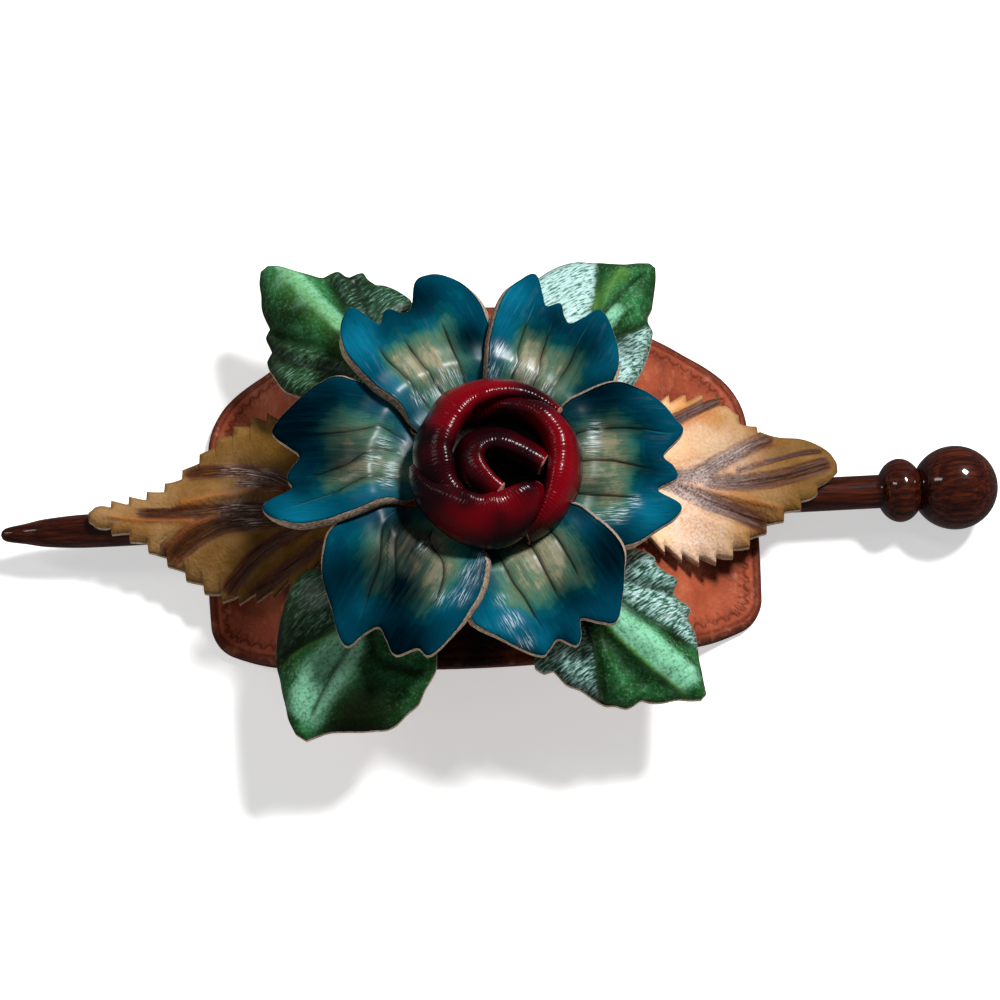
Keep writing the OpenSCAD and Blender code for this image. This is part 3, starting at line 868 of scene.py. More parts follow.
@dataclass(frozen=True)
class YellowFinish:
    """Ochre leather whose pleated bands are stained brown, with painted light, sheen and shade on it."""

    leather: Leather = Leather("yellow_leather", shine=0.03, coat=0.4, coat_rough=0.5, grain=0.06,
                               hatch=0.12,
                               hatch_turn=48.0)
    ochre: str = "744e06"
    olive: str = "4c3602"
    # The peach and the pale colours are lit copies of the ochre: painted light.
    painted_light_peach: str = "f0a866"
    pale: str = "ffd2a2"
    stain: str = "2c0f06"
    brown: str = "562a22"
    lilac_and_sheen: str = "8c606a"
    amber: str = "b0642c"
    # Colour of painted sheen.
    frost: str = "f2dcd2"
    umber: str = "2a0e04"
    sienna: str = "482409"
    gold: str = "805416"
    rim: str = "5c3c12"
    # Colour of painted shade.
    dark: str = "180c02"

    def material(self) -> bpy.types.Material:
        """Makes the material from its masks: band, crest, thin, flow, along, pale (painted light), edge,
        painted light and painted shade.
        """
        shader = Shader(self.leather.name)
        spot = shader.place()
        cloud = shader.noise(spot, 0.13, 3.0)
        # The panels go from the ochre to its lit peach copy by the mask pale: painted light, strongest at
        # the right leaf's root.
        deep = shader.blend(cloud.over(0.35, 0.68), tone(self.olive), tone(self.ochre))
        light = shader.blend(cloud.over(0.35, 0.68), tone(self.painted_light_peach), tone(self.pale))
        panel = shader.blend(shader.mask("pale"), deep, light)
        streak = shader.strands(0.16, 1.6, 4.0, 0.65, "flow")
        fine = shader.strands(0.3, 4.5, side="flow")
        band = (shader.mask("band") * 1.1 + (streak - 0.5) * 1.1 - 0.05).over(0.1, 1.05)
        # The strands' pale peaks are partly the bands' lilac hue and partly a painted sheen.
        strand = shader.ramp(fine,
                             [(0.4, tone(self.stain)), (0.56, tone(self.brown)), (0.8, tone(self.lilac_and_sheen))])
        golden = shader.ramp(fine,
                             [(0.35, tone(self.umber)), (0.55, tone(self.sienna)), (0.75, tone(self.gold))])
        dusky = shader.blend(shader.mask("pale").over(0.1, 0.8), golden, strand)
        warm = shader.blend(band.over(0.0, 0.5) * 0.8, panel, tone(self.brown))
        colour = shader.blend(band.over(0.35, 1.0) * 0.95, warm, dusky)
        crest = shader.mask("crest") * streak.over(0.3, 0.6)
        colour = shader.blend(crest * 0.6, colour, tone(self.amber))
        colour = shader.blend(shader.mask("thin") * 0.85, colour, tone(self.stain))
        rim = shader.mask("edge").over(1.0, 0.1) * 0.4
        colour = shader.blend(rim, colour, tone(self.rim))
        # Painted highlight: a pale sheen on the grain at the spots of painted light, and along the bands'
        # strands on the left leaf.
        glint = (shader.noise(spot, 2.2, 3.0, 0.6) + (self.leather.brushed(shader, 2.0, 0.3) - 0.5) * 0.6)
        pale = shader.mask("pale")
        sheen = (glint.over(0.35, 0.6) * 0.9 + 0.25) * pale + fine.over(0.5, 0.66) * band * (1 - pale)
        frost = shader.mask("bright") * sheen
        colour = shader.blend(frost.held(), colour, tone(self.frost))
        # Painted shade at the dark spots.
        colour = shader.blend(shader.mask("dark"), colour, tone(self.dark))
        carved = (fine - 0.5) * band * 0.16
        polished = (shader.mask("bright") * 0.6 + band * 0.6 + 0.2).held()
        return self.leather.dress(shader, colour, carved, polished, 1 - band * 0.7)


@dataclass(frozen=True)
class GreenFinish:
    """Green leather with smooth lobes and others that are brushed rough, their strokes pale with painted
    highlights.
    """

    leather: Leather = Leather("green_leather", matt=0.66, polish=0.3, shine=0.03, coat=0.5,
                               coat_rough=0.38, grain=0.04, hatch=0.07,
                               hatch_turn=33.0)
    black: str = "0c1404"
    dark: str = "18300c"
    mid: str = "1e5a2a"
    light: str = "3a8650"
    # Colour of the painted mint sheen.
    mint: str = "86cca6"
    # Colour of painted highlights on the brushed strokes.
    frost: str = "b8dcd8"
    # Colour of painted highlights on the ridges.
    lime_ridge_highlight: str = "5c8c3c"
    pine: str = "16321e"
    fern: str = "447462"
    # The dim colours are a shaded copy of the brushed strokes: painted shade.
    bottle: str = "102410"
    moss: str = "284e2c"
    reed: str = "7caa90"
    speck: str = "8cba9a"

    def material(self) -> bpy.types.Material:
        """Makes the material from its masks: rough, painted highlights, painted mint sheen, painted light,
        fold, crest, thin, edge and painted shade.
        """
        shader = Shader(self.leather.name)
        cloud = shader.noise(shader.place(), 0.2, 4.0)
        smooth = shader.ramp(cloud,
                             [(0.3, tone(self.dark)), (0.48, tone(self.mid)), (0.7, tone(self.light))])
        grain = self.leather.brushed(shader, 6.0, 0.9)
        fleck = shader.noise(shader.place(), 1.9, 4.0, 0.65)
        # Painted sheen: a pale mint stripe beside a leaf's first line and at the spots of painted light.
        mint = (shader.mask("mint") * 1.1 + shader.mask("bright") + (grain - 0.5) * 0.7 - 0.1).held()
        mint = mint * (grain.over(0.3, 0.6) * 0.25 + fleck.over(0.35, 0.6) * 0.4 + 0.4)
        smooth = shader.blend(mint, smooth, tone(self.mint))
        # The brushed strokes carry painted highlights as strong as their mask; where it is low they take the
        # dim ramp, a shaded copy: painted shade.
        stroke = self.leather.brushed(shader, 1.5, 0.3)
        rough = shader.mask("rough")
        frost = shader.mask("frost")
        lit = stroke + (frost - 0.6) * 0.3
        brushed = shader.ramp(lit,
                              [(0.36, tone(self.pine)), (0.5, tone(self.fern)), (0.64, tone(self.frost))])
        dim = shader.ramp(stroke,
                          [(0.34, tone(self.bottle)), (0.52, tone(self.moss)), (0.74, tone(self.reed))])
        brushed = shader.blend(frost.over(0.1, 0.5), dim, brushed)
        smooth = shader.blend(fleck.over(0.5, 0.66) * 0.3, smooth, tone(self.speck))
        smooth = shader.blend(fleck.over(0.48, 0.34) * 0.3, smooth, tone(self.dark))
        colour = shader.blend(rough, smooth, brushed)
        # Painted shade in the creases between lobes.
        colour = shader.blend(shader.mask("fold") * 0.75, colour, tone(self.black))
        # Painted highlight along the raised ridges.
        colour = shader.blend(shader.mask("crest") * 0.5, colour, tone(self.lime_ridge_highlight))
        colour = shader.blend(shader.mask("thin") * 0.85, colour, tone(self.black))
        rim = shader.mask("edge").over(1.6, 0.2)
        colour = shader.blend(rim * 0.5, colour, tone(self.dark))
        # Painted shade at the dark spots.
        colour = shader.blend(shader.mask("dark"), colour, tone(self.black))
        carved = (stroke - 0.5) * rough * 0.22 + (self.leather.brushed(shader, 3.0, 0.3) - 0.5) * 0.12
        polished = (rough * 0.8 + shader.mask("bright") * 0.5 + 0.15).held()
        return self.leather.dress(shader, colour, carved, polished)


@dataclass(frozen=True)
class RoseFinish:
    """Crimson leather with painted shade in its folds, darker lower down each roll, and pinched into fine
    ribs.
    """

    leather: Leather = Leather("rose_leather", matt=0.5, polish=0.2, shine=0.22, grain=0.008,
                               hatch=0.004, raw="d8a090", suede="3a0a0c", raw_dark="7a3a30")
    # Black to red follow a roll's height: painted shade low in its folds.
    black: str = "040001"
    wine: str = "180003"
    crimson: str = "4c0007"
    red: str = "6c000c"
    # Colour of painted light.
    bright: str = "84000c"
    # Colour of painted shade with darker dye.
    dark: str = "140308"

    def material(self) -> bpy.types.Material:
        """Makes the material from its masks: along, height, painted light and painted shade with darker dye.
        """
        shader = Shader(self.leather.name)
        cloud = shader.noise(shader.place(), 0.14, 3.0)
        bright = shader.mask("bright")
        # Painted shade: the crimson darkens towards black lower down each roll, and painted light lifts it.
        deep = (shader.mask("height") + (cloud - 0.5) * 0.7 + bright * 0.3).held()
        colour = shader.ramp(deep,
                             [(0.0, tone(self.black)), (0.35, tone(self.wine)), (0.62, tone(self.crimson)),
                                    (1.0, tone(self.red))])
        # Painted light: a brighter red on the lit rolls.
        colour = shader.blend(bright * 0.5, colour, tone(self.bright))
        # Painted shade, with some darker maroon dye, at the dark spots.
        colour = shader.blend(shader.mask("dark"), colour, tone(self.dark))
        wobble = shader.noise(shader.place(), 0.6, 2.0)
        top = shader.mask("height").over(0.6, 0.97)
        rib = (shader.mask("along") * 10.5 + wobble * 7.0).math("SINE") * (top * 0.014 + 0.001)
        pinch = shader.strands(2.4, 0.8, 2.0, 0.5, "height")
        rib = rib + (pinch - 0.5) * (top * 0.1 + 0.01)
        return self.leather.dress(shader, colour, rib, top * 0.2 + 0.8)


@dataclass(frozen=True)
class PlateFinish:
    """Reddish-brown tooled leather, darker in its stamps and at its edge."""

    leather: Leather = Leather("plate_leather", shine=0.12, grain=0.05, hatch=0.04, hatch_turn=120,
                               raw="5a2a18", raw_dark="2a100a", suede="7a4a30")
    brown: str = "742f1c"
    russet: str = "a24d31"
    tan: str = "bc6848"
    pressed: str = "4a160a"
    rim: str = "34120a"
    # Colour of the painted shadow.
    dark: str = "080202"
    pale: str = "c47c5c"

    def material(self) -> bpy.types.Material:
        """Makes the material from its masks: edge, pressed and a painted shadow."""
        shader = Shader(self.leather.name)
        cloud = shader.noise(shader.place(), 0.1, 4.0)
        colour = shader.ramp(cloud,
                             [(0.3, tone(self.brown)), (0.55, tone(self.russet)), (0.8, tone(self.tan))])
        pressed = shader.mask("pressed").held()
        colour = shader.blend(pressed * 0.75, colour, tone(self.pressed))
        rim = shader.mask("edge").over(1.6, 0.2)
        colour = shader.blend(rim * 0.8, colour, tone(self.rim))
        # Painted shadow under the petals.
        colour = shader.blend(shader.mask("dark"), colour, tone(self.dark))
        mottle = shader.noise(shader.place(), 0.45, 4.0, 0.6)
        pale = mottle.over(0.5, 0.7) * 0.3 * (1 - shader.mask("dark"))
        colour = shader.blend(pale, colour, tone(self.pale))
        return self.leather.dress(shader, colour, (mottle - 0.5) * 0.35, mottle.over(0.4, 0.7))


@dataclass(frozen=True)
class WoodFinish:
    """Dark lacquered hardwood with fine grain along the stick."""

    name: str = "stick_wood"
    dark: str = "120302"
    brown: str = "320f06"
    amber: str = "5c240c"
    pore: str = "140504"
    groove: str = "120403"

    def material(self) -> bpy.types.Material:
        """Makes the material from the place and the mask groove."""
        shader = Shader(self.name)
        grain = shader.noise(shader.place((0.06, 1.0, 1.0)), 1.6, 5.0, 0.65)
        pores = shader.noise(shader.place((0.18, 4.0, 4.0)), 1.0, 3.0, 0.6)
        colour = shader.ramp(grain,
                             [(0.3, tone(self.dark)), (0.5, tone(self.brown)), (0.72, tone(self.amber))])
        colour = shader.blend(pores.over(0.56, 0.7) * 0.7, colour, tone(self.pore))
        colour = shader.blend(shader.mask("groove") * 0.8, colour, tone(self.groove))
        height = pores.over(0.5, 0.75) * -0.03 + grain * 0.04
        rough = (grain - 0.5) * 0.2 + 0.3
        return shader.close(colour, rough, height, 0.9,
                            {"Coat Roughness": 0.08, "Specular IOR Level": 0.03})


# Pieces

@dataclass
class Piece:
    """One dressed piece: its name, the node it stands for, its body and its slot."""

    name: str
    node: str
    body: Body
    slot: str

    def place(self, made: bpy.types.Object, finish: bpy.types.Material) -> bpy.types.Object:
        """Puts a made object in the frame.

        Args:
            made: The piece's object.
            finish: Its material.

        Returns:
            The same object.
        """
        made.data.materials.append(finish)
        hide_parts(self.node)
        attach(made, self.body.value)
        log.info("%s: %d points, %d faces", self.name, len(made.data.vertices), len(made.data.polygons))
        return made


@dataclass
class Petal:
    """A three-lobed petal, cupped at its root, with carved veins and curled sides.

    A row of rim is an angle from the petal's heading and the distance to its edge there. A vein's points
    are a distance from the flower's middle and an angle.
    """

    node: str
    heading: float
    rim: Rows
    veins: Sequence[Rows]
    thickness: float = 1.7
    root_r: float = 5.0
    root_span: float = 27.0
    step: float = 2.3
    cup: float = 0.5
    flower_at: tuple[float, float] = (-3.5, 0.8)
    rise: Rows = ((5, 25.5), (10, 25.8), (15, 27.2), (18, 28.7), (21, 29.3), (26, 29.8), (30, 29.6),
                  (36, 28.9))
    lip: float = 0.75
    lip_r: float = 16.4
    curl: float = 0.8
    curl_reach: float = 2.8

    @property
    def name(self) -> str:
        """The piece's name."""
        return self.node + "_leather"

    def height(self, r: Array, turned: Array) -> Array:
        """Height of the petal's leather at a distance from the middle and an angle."""
        rise = read_column([row[0] for row in self.rise], [row[1] for row in self.rise], r)
        lip = self.lip * bell((r - self.lip_r) / 2.1) - 0.4 * self.lip * bell((r - self.lip_r - 4) / 2.6)
        return rise + lip + ease((r - 6) / 5) * self.step * turned / 60 + self.cup * (turned / 36) ** 2

    def build(self) -> bpy.types.Object:
        """Makes the petal's mesh with its masks."""
        rim = through(self.rim, 128)
        share = 1 - (1 - np.linspace(0, 1, 84)) ** 1.15
        r = self.root_r + (rim[None, :, 1] - self.root_r) * share[:, None]
        first, last = rim[0, 0], rim[-1, 0]
        root = -self.root_span + 2 * self.root_span * (rim[:, 0] - first) / (last - first)
        turned = root[None] + (rim[None, :, 0] - root[None]) * ease((r - 9.5) / 7)
        angle = np.radians(self.heading + turned)
        flat = np.stack([r * np.cos(angle), r * np.sin(angle)], axis=-1)
        lines = [through(vein, 40) for vein in self.veins]
        veins = VeinField.of(flat, [self.on_plan(line) for line in lines])
        z = self.height(r, turned) + self.thickness / 2
        sheet = Sheet(np.dstack([flat, z]), self.thickness, {})
        edge = sheet.edge()
        seed = int(self.heading) % 17
        z += 0.3 * ease((veins.away - 0.3) / 3) * ease((r - 12) / 6) * ease(edge / 4)
        z -= 0.18 * bell(veins.away / 0.45) * veins.fade
        z += 0.22 * waviness(flat[..., 0], flat[..., 1], 13, seed) * ease((r - 12) / 8)
        z -= 0.3 * ease(1 - edge / 1.1) ** 2
        half = np.where(turned > 0, last, -first)
        out = np.clip(np.abs(turned) / half, 0, 1)
        side = ease((out - 0.5) / 0.3) * np.where(turned > 0, 1.0, ease((r - 21) / 4)) * ease((r - 12) / 3)
        lift = side * np.clip(1 - edge / self.curl_reach, 0, 1)
        z += self.curl * lift ** 2
        away = np.sign(turned)
        outward = np.stack([-np.sin(angle) * away, np.cos(angle) * away], axis=-1)
        flat = flat - outward * (0.42 * self.thickness * lift ** 2)[..., None]
        down = np.dstack([outward * (0.55 * lift ** 1.5)[..., None], -np.ones_like(z)])
        down /= np.linalg.norm(down, axis=-1, keepdims=True)
        reach = ease((r - 20) / 14)
        side_dye = ease((6.8 - edge) / 6)
        lobe_dye = ease((out - 0.25) / 0.5) * 0.35
        dye = np.clip(0.08 + 0.8 * reach + 0.75 * side_dye + lobe_dye * ease((r - 14) / 6), 0, 1.1)
        spot = np.dstack([flat + np.array(self.flower_at), z])
        # The last three masks are painted shade with darker dye, painted light and painted highlights.
        masks = {
            "dye": dye, "edge": edge, "vein": np.clip(veins.signed, -3, 3),
            "near": ease((2.2 - veins.away) / 1.0) * veins.fade, "along": r,
            "side": r * np.radians(turned), "dark": PETAL_DARK_DYE_AND_SHADE.at(spot),
            "bright": PETAL_PAINTED_LIGHT.at(spot), "glint": PETAL_GLINT.at(spot),
        }
        return Sheet(spot, self.thickness, masks, down).shape().make(self.name)

    def on_plan(self, line: Array) -> Array:
        """A line of distances and angles as places seen from above."""
        angle = np.radians(self.heading + line[:, 1])
        return np.stack([line[:, 0] * np.cos(angle), line[:, 0] * np.sin(angle)], axis=1)


class Mark(Enum):
    """How a line is worked into a leaf."""

    VEIN = "carved as a thin line"
    CREST = "raised to a ridge"
    CREASE = "folded down between two lobes"
    BAND = "pleated and stained"


@dataclass(frozen=True)
class Line:
    """A line that is worked into a leaf.

    Its points are places along the midrib and across it, and wide is its reach to its left and its right.
    The leather beyond it is roughened on its left where rough is above 0, on its right where it is below:
    the number's size is how strong the painted highlights on its brush strokes are.
    """

    mark: Mark
    points: Rows
    wide: tuple[float, float] = (1.0, 1.0)
    deep: float = 0.5
    rough: float = 0.0


@dataclass(frozen=True)
class Teeth:
    """The stepped teeth of a leaf's edge, which end earlier on its left side."""

    start: float
    pitch: float
    depth: float
    left_end: float
    tail: float = 0.8

    def saw(self, s: Array, total: float, left: Array) -> Array:
        """How far the teeth push the edge out at distances along the leaf."""
        fade = ease((s - 8) / 8) * ease((total - s) / 5)
        step = (s - total + self.tail) / self.pitch
        ends = np.where(left, ease((self.left_end - s) / 0.6), 1.0)
        return self.depth * fade * ends * (step - np.floor(step) - 0.5)


@dataclass
class Leaf:
    """A pointed leaf with its own edge on each side and the lines that are worked into it.

    A row of height is a distance along the midrib, the midrib's height and how far the left and the right
    edge hang below it. A row of left or right is such a distance and the half width there. The stripe of
    painted sheen is its middle beside the first line, its reach and where along the leaf it starts and ends.
    Pale is the share of a lit copy of the panels' colour at the root and at the tip: painted light.
    """

    node: str
    at: tuple[float, float]
    heading: float
    height: Rows
    left: Rows
    right: Rows
    lines: Sequence[Line]
    fold: float
    teeth: Teeth | None = None
    swing: float = 0.0
    painted_sheen_stripe: tuple[float, float, float, float] = (0.0, 1.0, 99.0, 99.0)
    # Painted light: share of the panels' lit copy at the root and at the tip.
    pale: tuple[float, float] = (0.0, 0.0)
    thickness: float = 1.5
    columns: int = 83

    @property
    def name(self) -> str:
        """The piece's name."""
        return self.node + "_leather"

    def stations(self) -> Array:
        """Distances along the leaf at which its grid has a row, close together at each tooth."""
        total = self.height[-1][0]
        tip = total - np.array([0.7, 0.5, 0.3, 0.12, 0.0])
        if self.teeth is None:
            return np.concatenate([np.linspace(0, 13.7, 24), np.arange(14, total - 0.8, 0.22), tip])
        pitch = self.teeth.pitch
        count = math.floor((total - self.teeth.tail - self.teeth.start) / pitch)
        start = total - self.teeth.tail - count * pitch
        parts = np.array([0.015, 0.06, 0.16, 0.28, 0.4, 0.52, 0.64, 0.76, 0.87, 0.95, 0.985])
        teeth = (start + (np.arange(count)[:, None] + parts) * pitch).ravel()
        return np.concatenate([np.linspace(0, start - 0.1, 40), teeth, tip])

    def build(self) -> bpy.types.Object:
        """Makes the leaf's mesh with its masks."""
        total = self.height[-1][0]
        s = self.stations()[:, None]
        even = np.linspace(-1, 1, self.columns)[None]
        v = 0.35 * np.sin(even * math.pi / 2) + 0.65 * even
        size = np.abs(v)

        def read(rows: Rows, column: int) -> Array:
            """A column of one of the leaf's tables at its stations."""
            return read_column([row[0] for row in rows], [row[column] for row in rows], s)

        width = np.where(v > 0, read(self.left, 1), read(self.right, 1))
        hang = np.where(v > 0, read(self.height, 2), read(self.height, 3))
        saw = self.teeth.saw(s, total, v > 0) if self.teeth else 0.0
        across = np.sign(v) * (width * size + saw * ease((size - 0.72) / 0.28))
        side = across + self.swing * ease((s - 0.62 * total) / (0.38 * total))
        along = s + np.zeros_like(side)
        z = read(self.height, 1) - hang * size ** 1.6 + self.thickness / 2
        turn = math.radians(self.heading)
        flat = np.stack([along * math.cos(turn) - side * math.sin(turn) + self.at[0],
                         along * math.sin(turn) + side * math.cos(turn) + self.at[1]], axis=-1)
        edge = Sheet(np.dstack([flat, z]), self.thickness, {}).edge()
        relief, masks = self.work(along, side)
        relief += 0.22 * waviness(along, side, 11, int(self.heading) % 13)
        shown = ease((s - 15) / 5)
        z = z + relief * shown * ease(edge / 2.5 + 0.25) - 0.22 * ease(1 - edge / 0.9) ** 2
        share = ease((s - 20) / (total - 24))
        # Among these masks are painted shade, painted light and the share of the panels' lit copy, painted
        # light as well.
        masks |= {"edge": edge, "along": along, "dark": LEAF_PAINTED_SHADE.at(flat),
                  "bright": LEAF_PAINTED_LIGHT.at(flat),
                  "pale": self.pale[0] + (self.pale[1] - self.pale[0]) * share + 0 * v}
        return Sheet(np.dstack([flat, z]), self.thickness, masks).shape().make(self.name)

    def work(self, along: Array, side: Array) -> tuple[Array, dict[str, Array]]:
        """Works the leaf's lines into it.

        Args:
            along: Distance of each point along the midrib.
            side: Its distance from the midrib's straight line.

        Returns:
            The relief, and the masks of the lines.
        """
        spots = np.stack([along, side], axis=-1).reshape(-1, 2)
        relief = np.zeros(along.shape)
        near = np.full(along.shape, 9.0)
        flow = np.full(along.shape, 9.0)
        names = {Mark.VEIN: "thin", Mark.CREST: "crest", Mark.CREASE: "fold", Mark.BAND: "band"}
        masks = {name: np.zeros(along.shape) for name in (*names.values(), "rough", "frost", "mint")}
        for number, line in enumerate(self.lines):
            gap, share = line_field(spots, through(line.points, 40))
            gap, share = gap.reshape(along.shape), share.reshape(along.shape)
            run = ease((1 - share) / 0.12 + 0.1)
            reach = np.where(gap > 0, *line.wide)
            profile = bell(gap / reach)
            if line.mark is Mark.BAND:
                profile = bell(gap / (1.2 * reach))
                relief -= line.deep * profile * run
                relief += 0.12 * np.sin(2 * math.pi * gap / 1.25) * profile * run
            elif line.mark is Mark.CREST:
                relief += line.deep * profile * run
            elif line.mark is Mark.VEIN:
                shoulder = 0.3 * line.deep * bell((np.abs(gap) - 0.9) / 0.5)
                relief -= (line.deep * bell(gap / 0.35) - shoulder) * run
                profile = bell(gap / 0.3)
            else:
                relief -= line.deep * profile * run
            if line.mark is not Mark.CREST:
                near = np.minimum(near, np.abs(gap))
            name = names[line.mark]
            masks[name] = np.maximum(masks[name], profile * run)
            flow = np.where(np.abs(gap) < np.abs(flow), gap, flow)
            # Beyond the line the leather is roughened, and its strokes take painted highlights.
            if line.rough:
                beyond = ease(math.copysign(1, line.rough) * gap / 0.8)
                masks["rough"] = np.maximum(masks["rough"], beyond)
                masks["frost"] = np.maximum(masks["frost"], beyond * abs(line.rough))
            # The first line carries the stripe of painted sheen.
            if number == 0:
                middle, painted_sheen_stripe, start, end = self.painted_sheen_stripe
                masks["mint"] = ease((painted_sheen_stripe - np.abs(gap - middle)) / (0.6 * painted_sheen_stripe))
                masks["mint"] *= ease((along - start) / 3) * ease((end - along) / 3)
        masks["flow"] = np.clip(flow, -6, 6)
        return relief + self.fold * ease((near - 0.5) / 3.2), masks


def arc(middle: tuple[float, float], r: float, start: float, end: float, steps: int) -> Array:
    """Points on an arc, from one angle in degrees to another."""
    a = np.radians(np.linspace(start, end, steps + 1))
    return np.stack([middle[0] + r * np.cos(a), middle[1] + r * np.sin(a)], axis=1)


@dataclass
class Plate:
    """The domed back plate with its stamped border and two holes for the stick."""

    name: str = "plate_leather"
    at: tuple[float, float] = (-3.1, 0.0)
    thickness: float = 2.4
    rise: float = 20.0
    crown_r: float = 46.0
    reach: float = 42.0
    half: float = 46.4
    edge_y: tuple[float, float] = (31.0, 29.8)
    corner_r: tuple[float, float] = (13.6, 6.0)
    edge_r: tuple[float, float] = (170.0, 108.0)
    side_r: float = 250.0
    hole_r: float = 3.7
    hole_sides: int = 64
    stamp_pitch: float = 2.3
    around: int = 1300

    def line(self, off: float) -> Array:
        """One face of the plate as a line across it, at a distance above the leather's middle."""
        flat = self.thickness / 2
        turn = 2 * math.degrees(math.atan((self.rise - flat) / self.reach))
        sine = math.sin(math.radians(turn))
        foot = (self.reach - self.crown_r * sine) / sine
        return np.concatenate([
            [[-self.half - 4, flat + off]],
            arc((-self.reach, flat + foot), foot - off, -90, -90 + turn, 24),
            arc((0, self.rise - self.crown_r), self.crown_r + off, 90 + turn - 1, 90 - turn + 1, 120),
            arc((self.reach, flat + foot), foot - off, -90 - turn, -90, 24),
            [[self.half + 4, flat + off]],
        ])

    def quarter(self, y: float, long_r: float, r: float) -> Array:
        """A quarter of the outline, from the middle of the short side to the middle of a long edge."""
        side = np.array([self.half - self.side_r, 0.0])
        long = np.array([0.0, y - long_r])
        gap = side - long
        span = np.hypot(*gap)
        r1, r2 = long_r - r, self.side_r - r
        part = (span ** 2 + r1 ** 2 - r2 ** 2) / (2 * span)
        across_gap = np.array([gap[1], -gap[0]])
        corner = long + part * gap / span + math.sqrt(r1 ** 2 - part ** 2) * across_gap / span
        side_end = math.degrees(math.atan2(*(corner - side)[::-1]))
        corner_end = math.degrees(math.atan2(*(corner - long)[::-1]))
        return np.concatenate([
            arc(tuple(side), self.side_r, 0, side_end, 12)[:-1],
            arc(tuple(corner), r, side_end, corner_end, 24)[:-1],
            arc(tuple(long), long_r, corner_end, 90, 24),
        ])

    def outline(self) -> tuple[Array, Array, float]:
        """The outline in even steps.

        Returns:
            Its points, its directions outwards and its length.
        """
        upper = self.quarter(self.edge_y[0], self.edge_r[0], self.corner_r[0])
        lower = self.quarter(self.edge_y[1], self.edge_r[1], self.corner_r[1])
        loop = np.concatenate([
            upper, upper[-2::-1] * (-1, 1), lower[1:] * (-1, -1), lower[-2::-1] * (1, -1)])
        length = np.concatenate([[0], np.cumsum(np.hypot(*np.diff(loop, axis=0).T))])
        at = np.linspace(0, length[-1], self.around, endpoint=False)
        points = np.stack([np.interp(at, length, loop[:, 0]), np.interp(at, length, loop[:, 1])], axis=1)
        run = np.roll(points, -3, axis=0) - np.roll(points, 3, axis=0)
        out = np.stack([run[:, 1], -run[:, 0]], axis=1)
        return points, out / np.linalg.norm(out, axis=1, keepdims=True), length[-1]

    def stamps(self, inset: Array, run: Array) -> Array:
        """Depth of the border's pressed pattern.

        Args:
            inset: Distance from the edge.
            run: Distance along the outline.

        Returns:
            Depth between 0 and 1.
        """
        across = ((run / self.stamp_pitch) % 1.0 - 0.5) * self.stamp_pitch
        shell = np.hypot(across, inset - 2.1)
        crescent = bell((shell - 0.4 * self.stamp_pitch) / 0.2) * ease((inset - 2.0) / 0.4)
        fan = np.sin(np.arctan2(across, inset - 1.6) * 5)
        beams = bell(fan / 0.6) * ease((0.6 - np.abs(shell - 0.7 * self.stamp_pitch)) / 0.3)
        groove = bell((inset - 1.3) / 0.22)
        return np.clip(crescent + 0.5 * beams * ease((inset - 2.5) / 0.4) + 0.9 * groove, 0, 1)

    def pierce(self, cloud: Array, faces: Array, outside: int) -> tuple[Array, Array, Array]:
        """Cuts the stick's holes: faces inside them go, and points next to them move to the holes' rims.

        Args:
            cloud: The plate's points, of which some are moved.
            faces: Its faces.
            outside: How many of the first points belong to the plate's face.

        Returns:
            The points with those of the holes' walls, the faces left, and the faces of the walls.
        """
        gap = np.hypot(cloud[:, 1], cloud[:, 2] - STICK_Z)
        inside = gap < self.hole_r
        kept = faces[~inside[faces].all(axis=1)]
        lines = [self.line(sign * self.thickness / 2) for sign in (1, -1)]
        lines = [line[line[:, 0] <= 0] for line in lines]
        number = np.arange(len(cloud))
        for line, part in zip(lines, (number < outside, number >= outside)):
            spots = np.flatnonzero(inside & part)
            out = self.hole_r / np.maximum(gap[spots], 1e-6)
            end = np.sign(cloud[spots, 0] - self.at[0])
            cloud[spots, 1] *= out
            cloud[spots, 2] = STICK_Z + (cloud[spots, 2] - STICK_Z) * out
            cloud[spots, 0] = self.at[0] - end * np.interp(cloud[spots, 2], line[:, 1], line[:, 0])
        turn = np.linspace(0, 2 * math.pi, self.hole_sides, endpoint=False)
        y, z = self.hole_r * np.cos(turn), STICK_Z + self.hole_r * np.sin(turn)
        walls, wall_faces = [], []
        for end in (-1, 1):
            first = len(cloud) + sum(map(len, walls))
            for line in lines:
                x = self.at[0] - end * np.interp(z, line[:, 1], line[:, 0])
                walls.append(np.column_stack([x, y, z]))
            wall_faces.append(grid_faces(2, self.hole_sides, first, closed=True)[:, ::end])
        return np.concatenate([cloud, *walls]), kept, np.concatenate(wall_faces)

    def build(self) -> bpy.types.Object:
        """Makes the plate's mesh with its masks and cuts the stick's holes."""
        points, out, length = self.outline()
        run = np.arange(self.around) / self.around * length
        insets = np.concatenate([np.array([0.08, 0.3, 0.6]), np.arange(0.85, 5.6, 0.22)])
        face = self.line(self.thickness / 2)
        back = self.line(-self.thickness / 2)
        rings, depth, cut, under, edge = [], [], [], [], []

        def add(flat: Array, z: Array, pressed: Array, is_cut: float, is_under: float, gap: float) -> None:
            """Adds one ring of points and its masks."""
            rings.append(np.column_stack([flat + np.array(self.at), z]))
            depth.append(pressed)
            cut.append(np.full(self.around, is_cut))
            under.append(np.full(self.around, is_under))
            edge.append(np.full(self.around, gap))

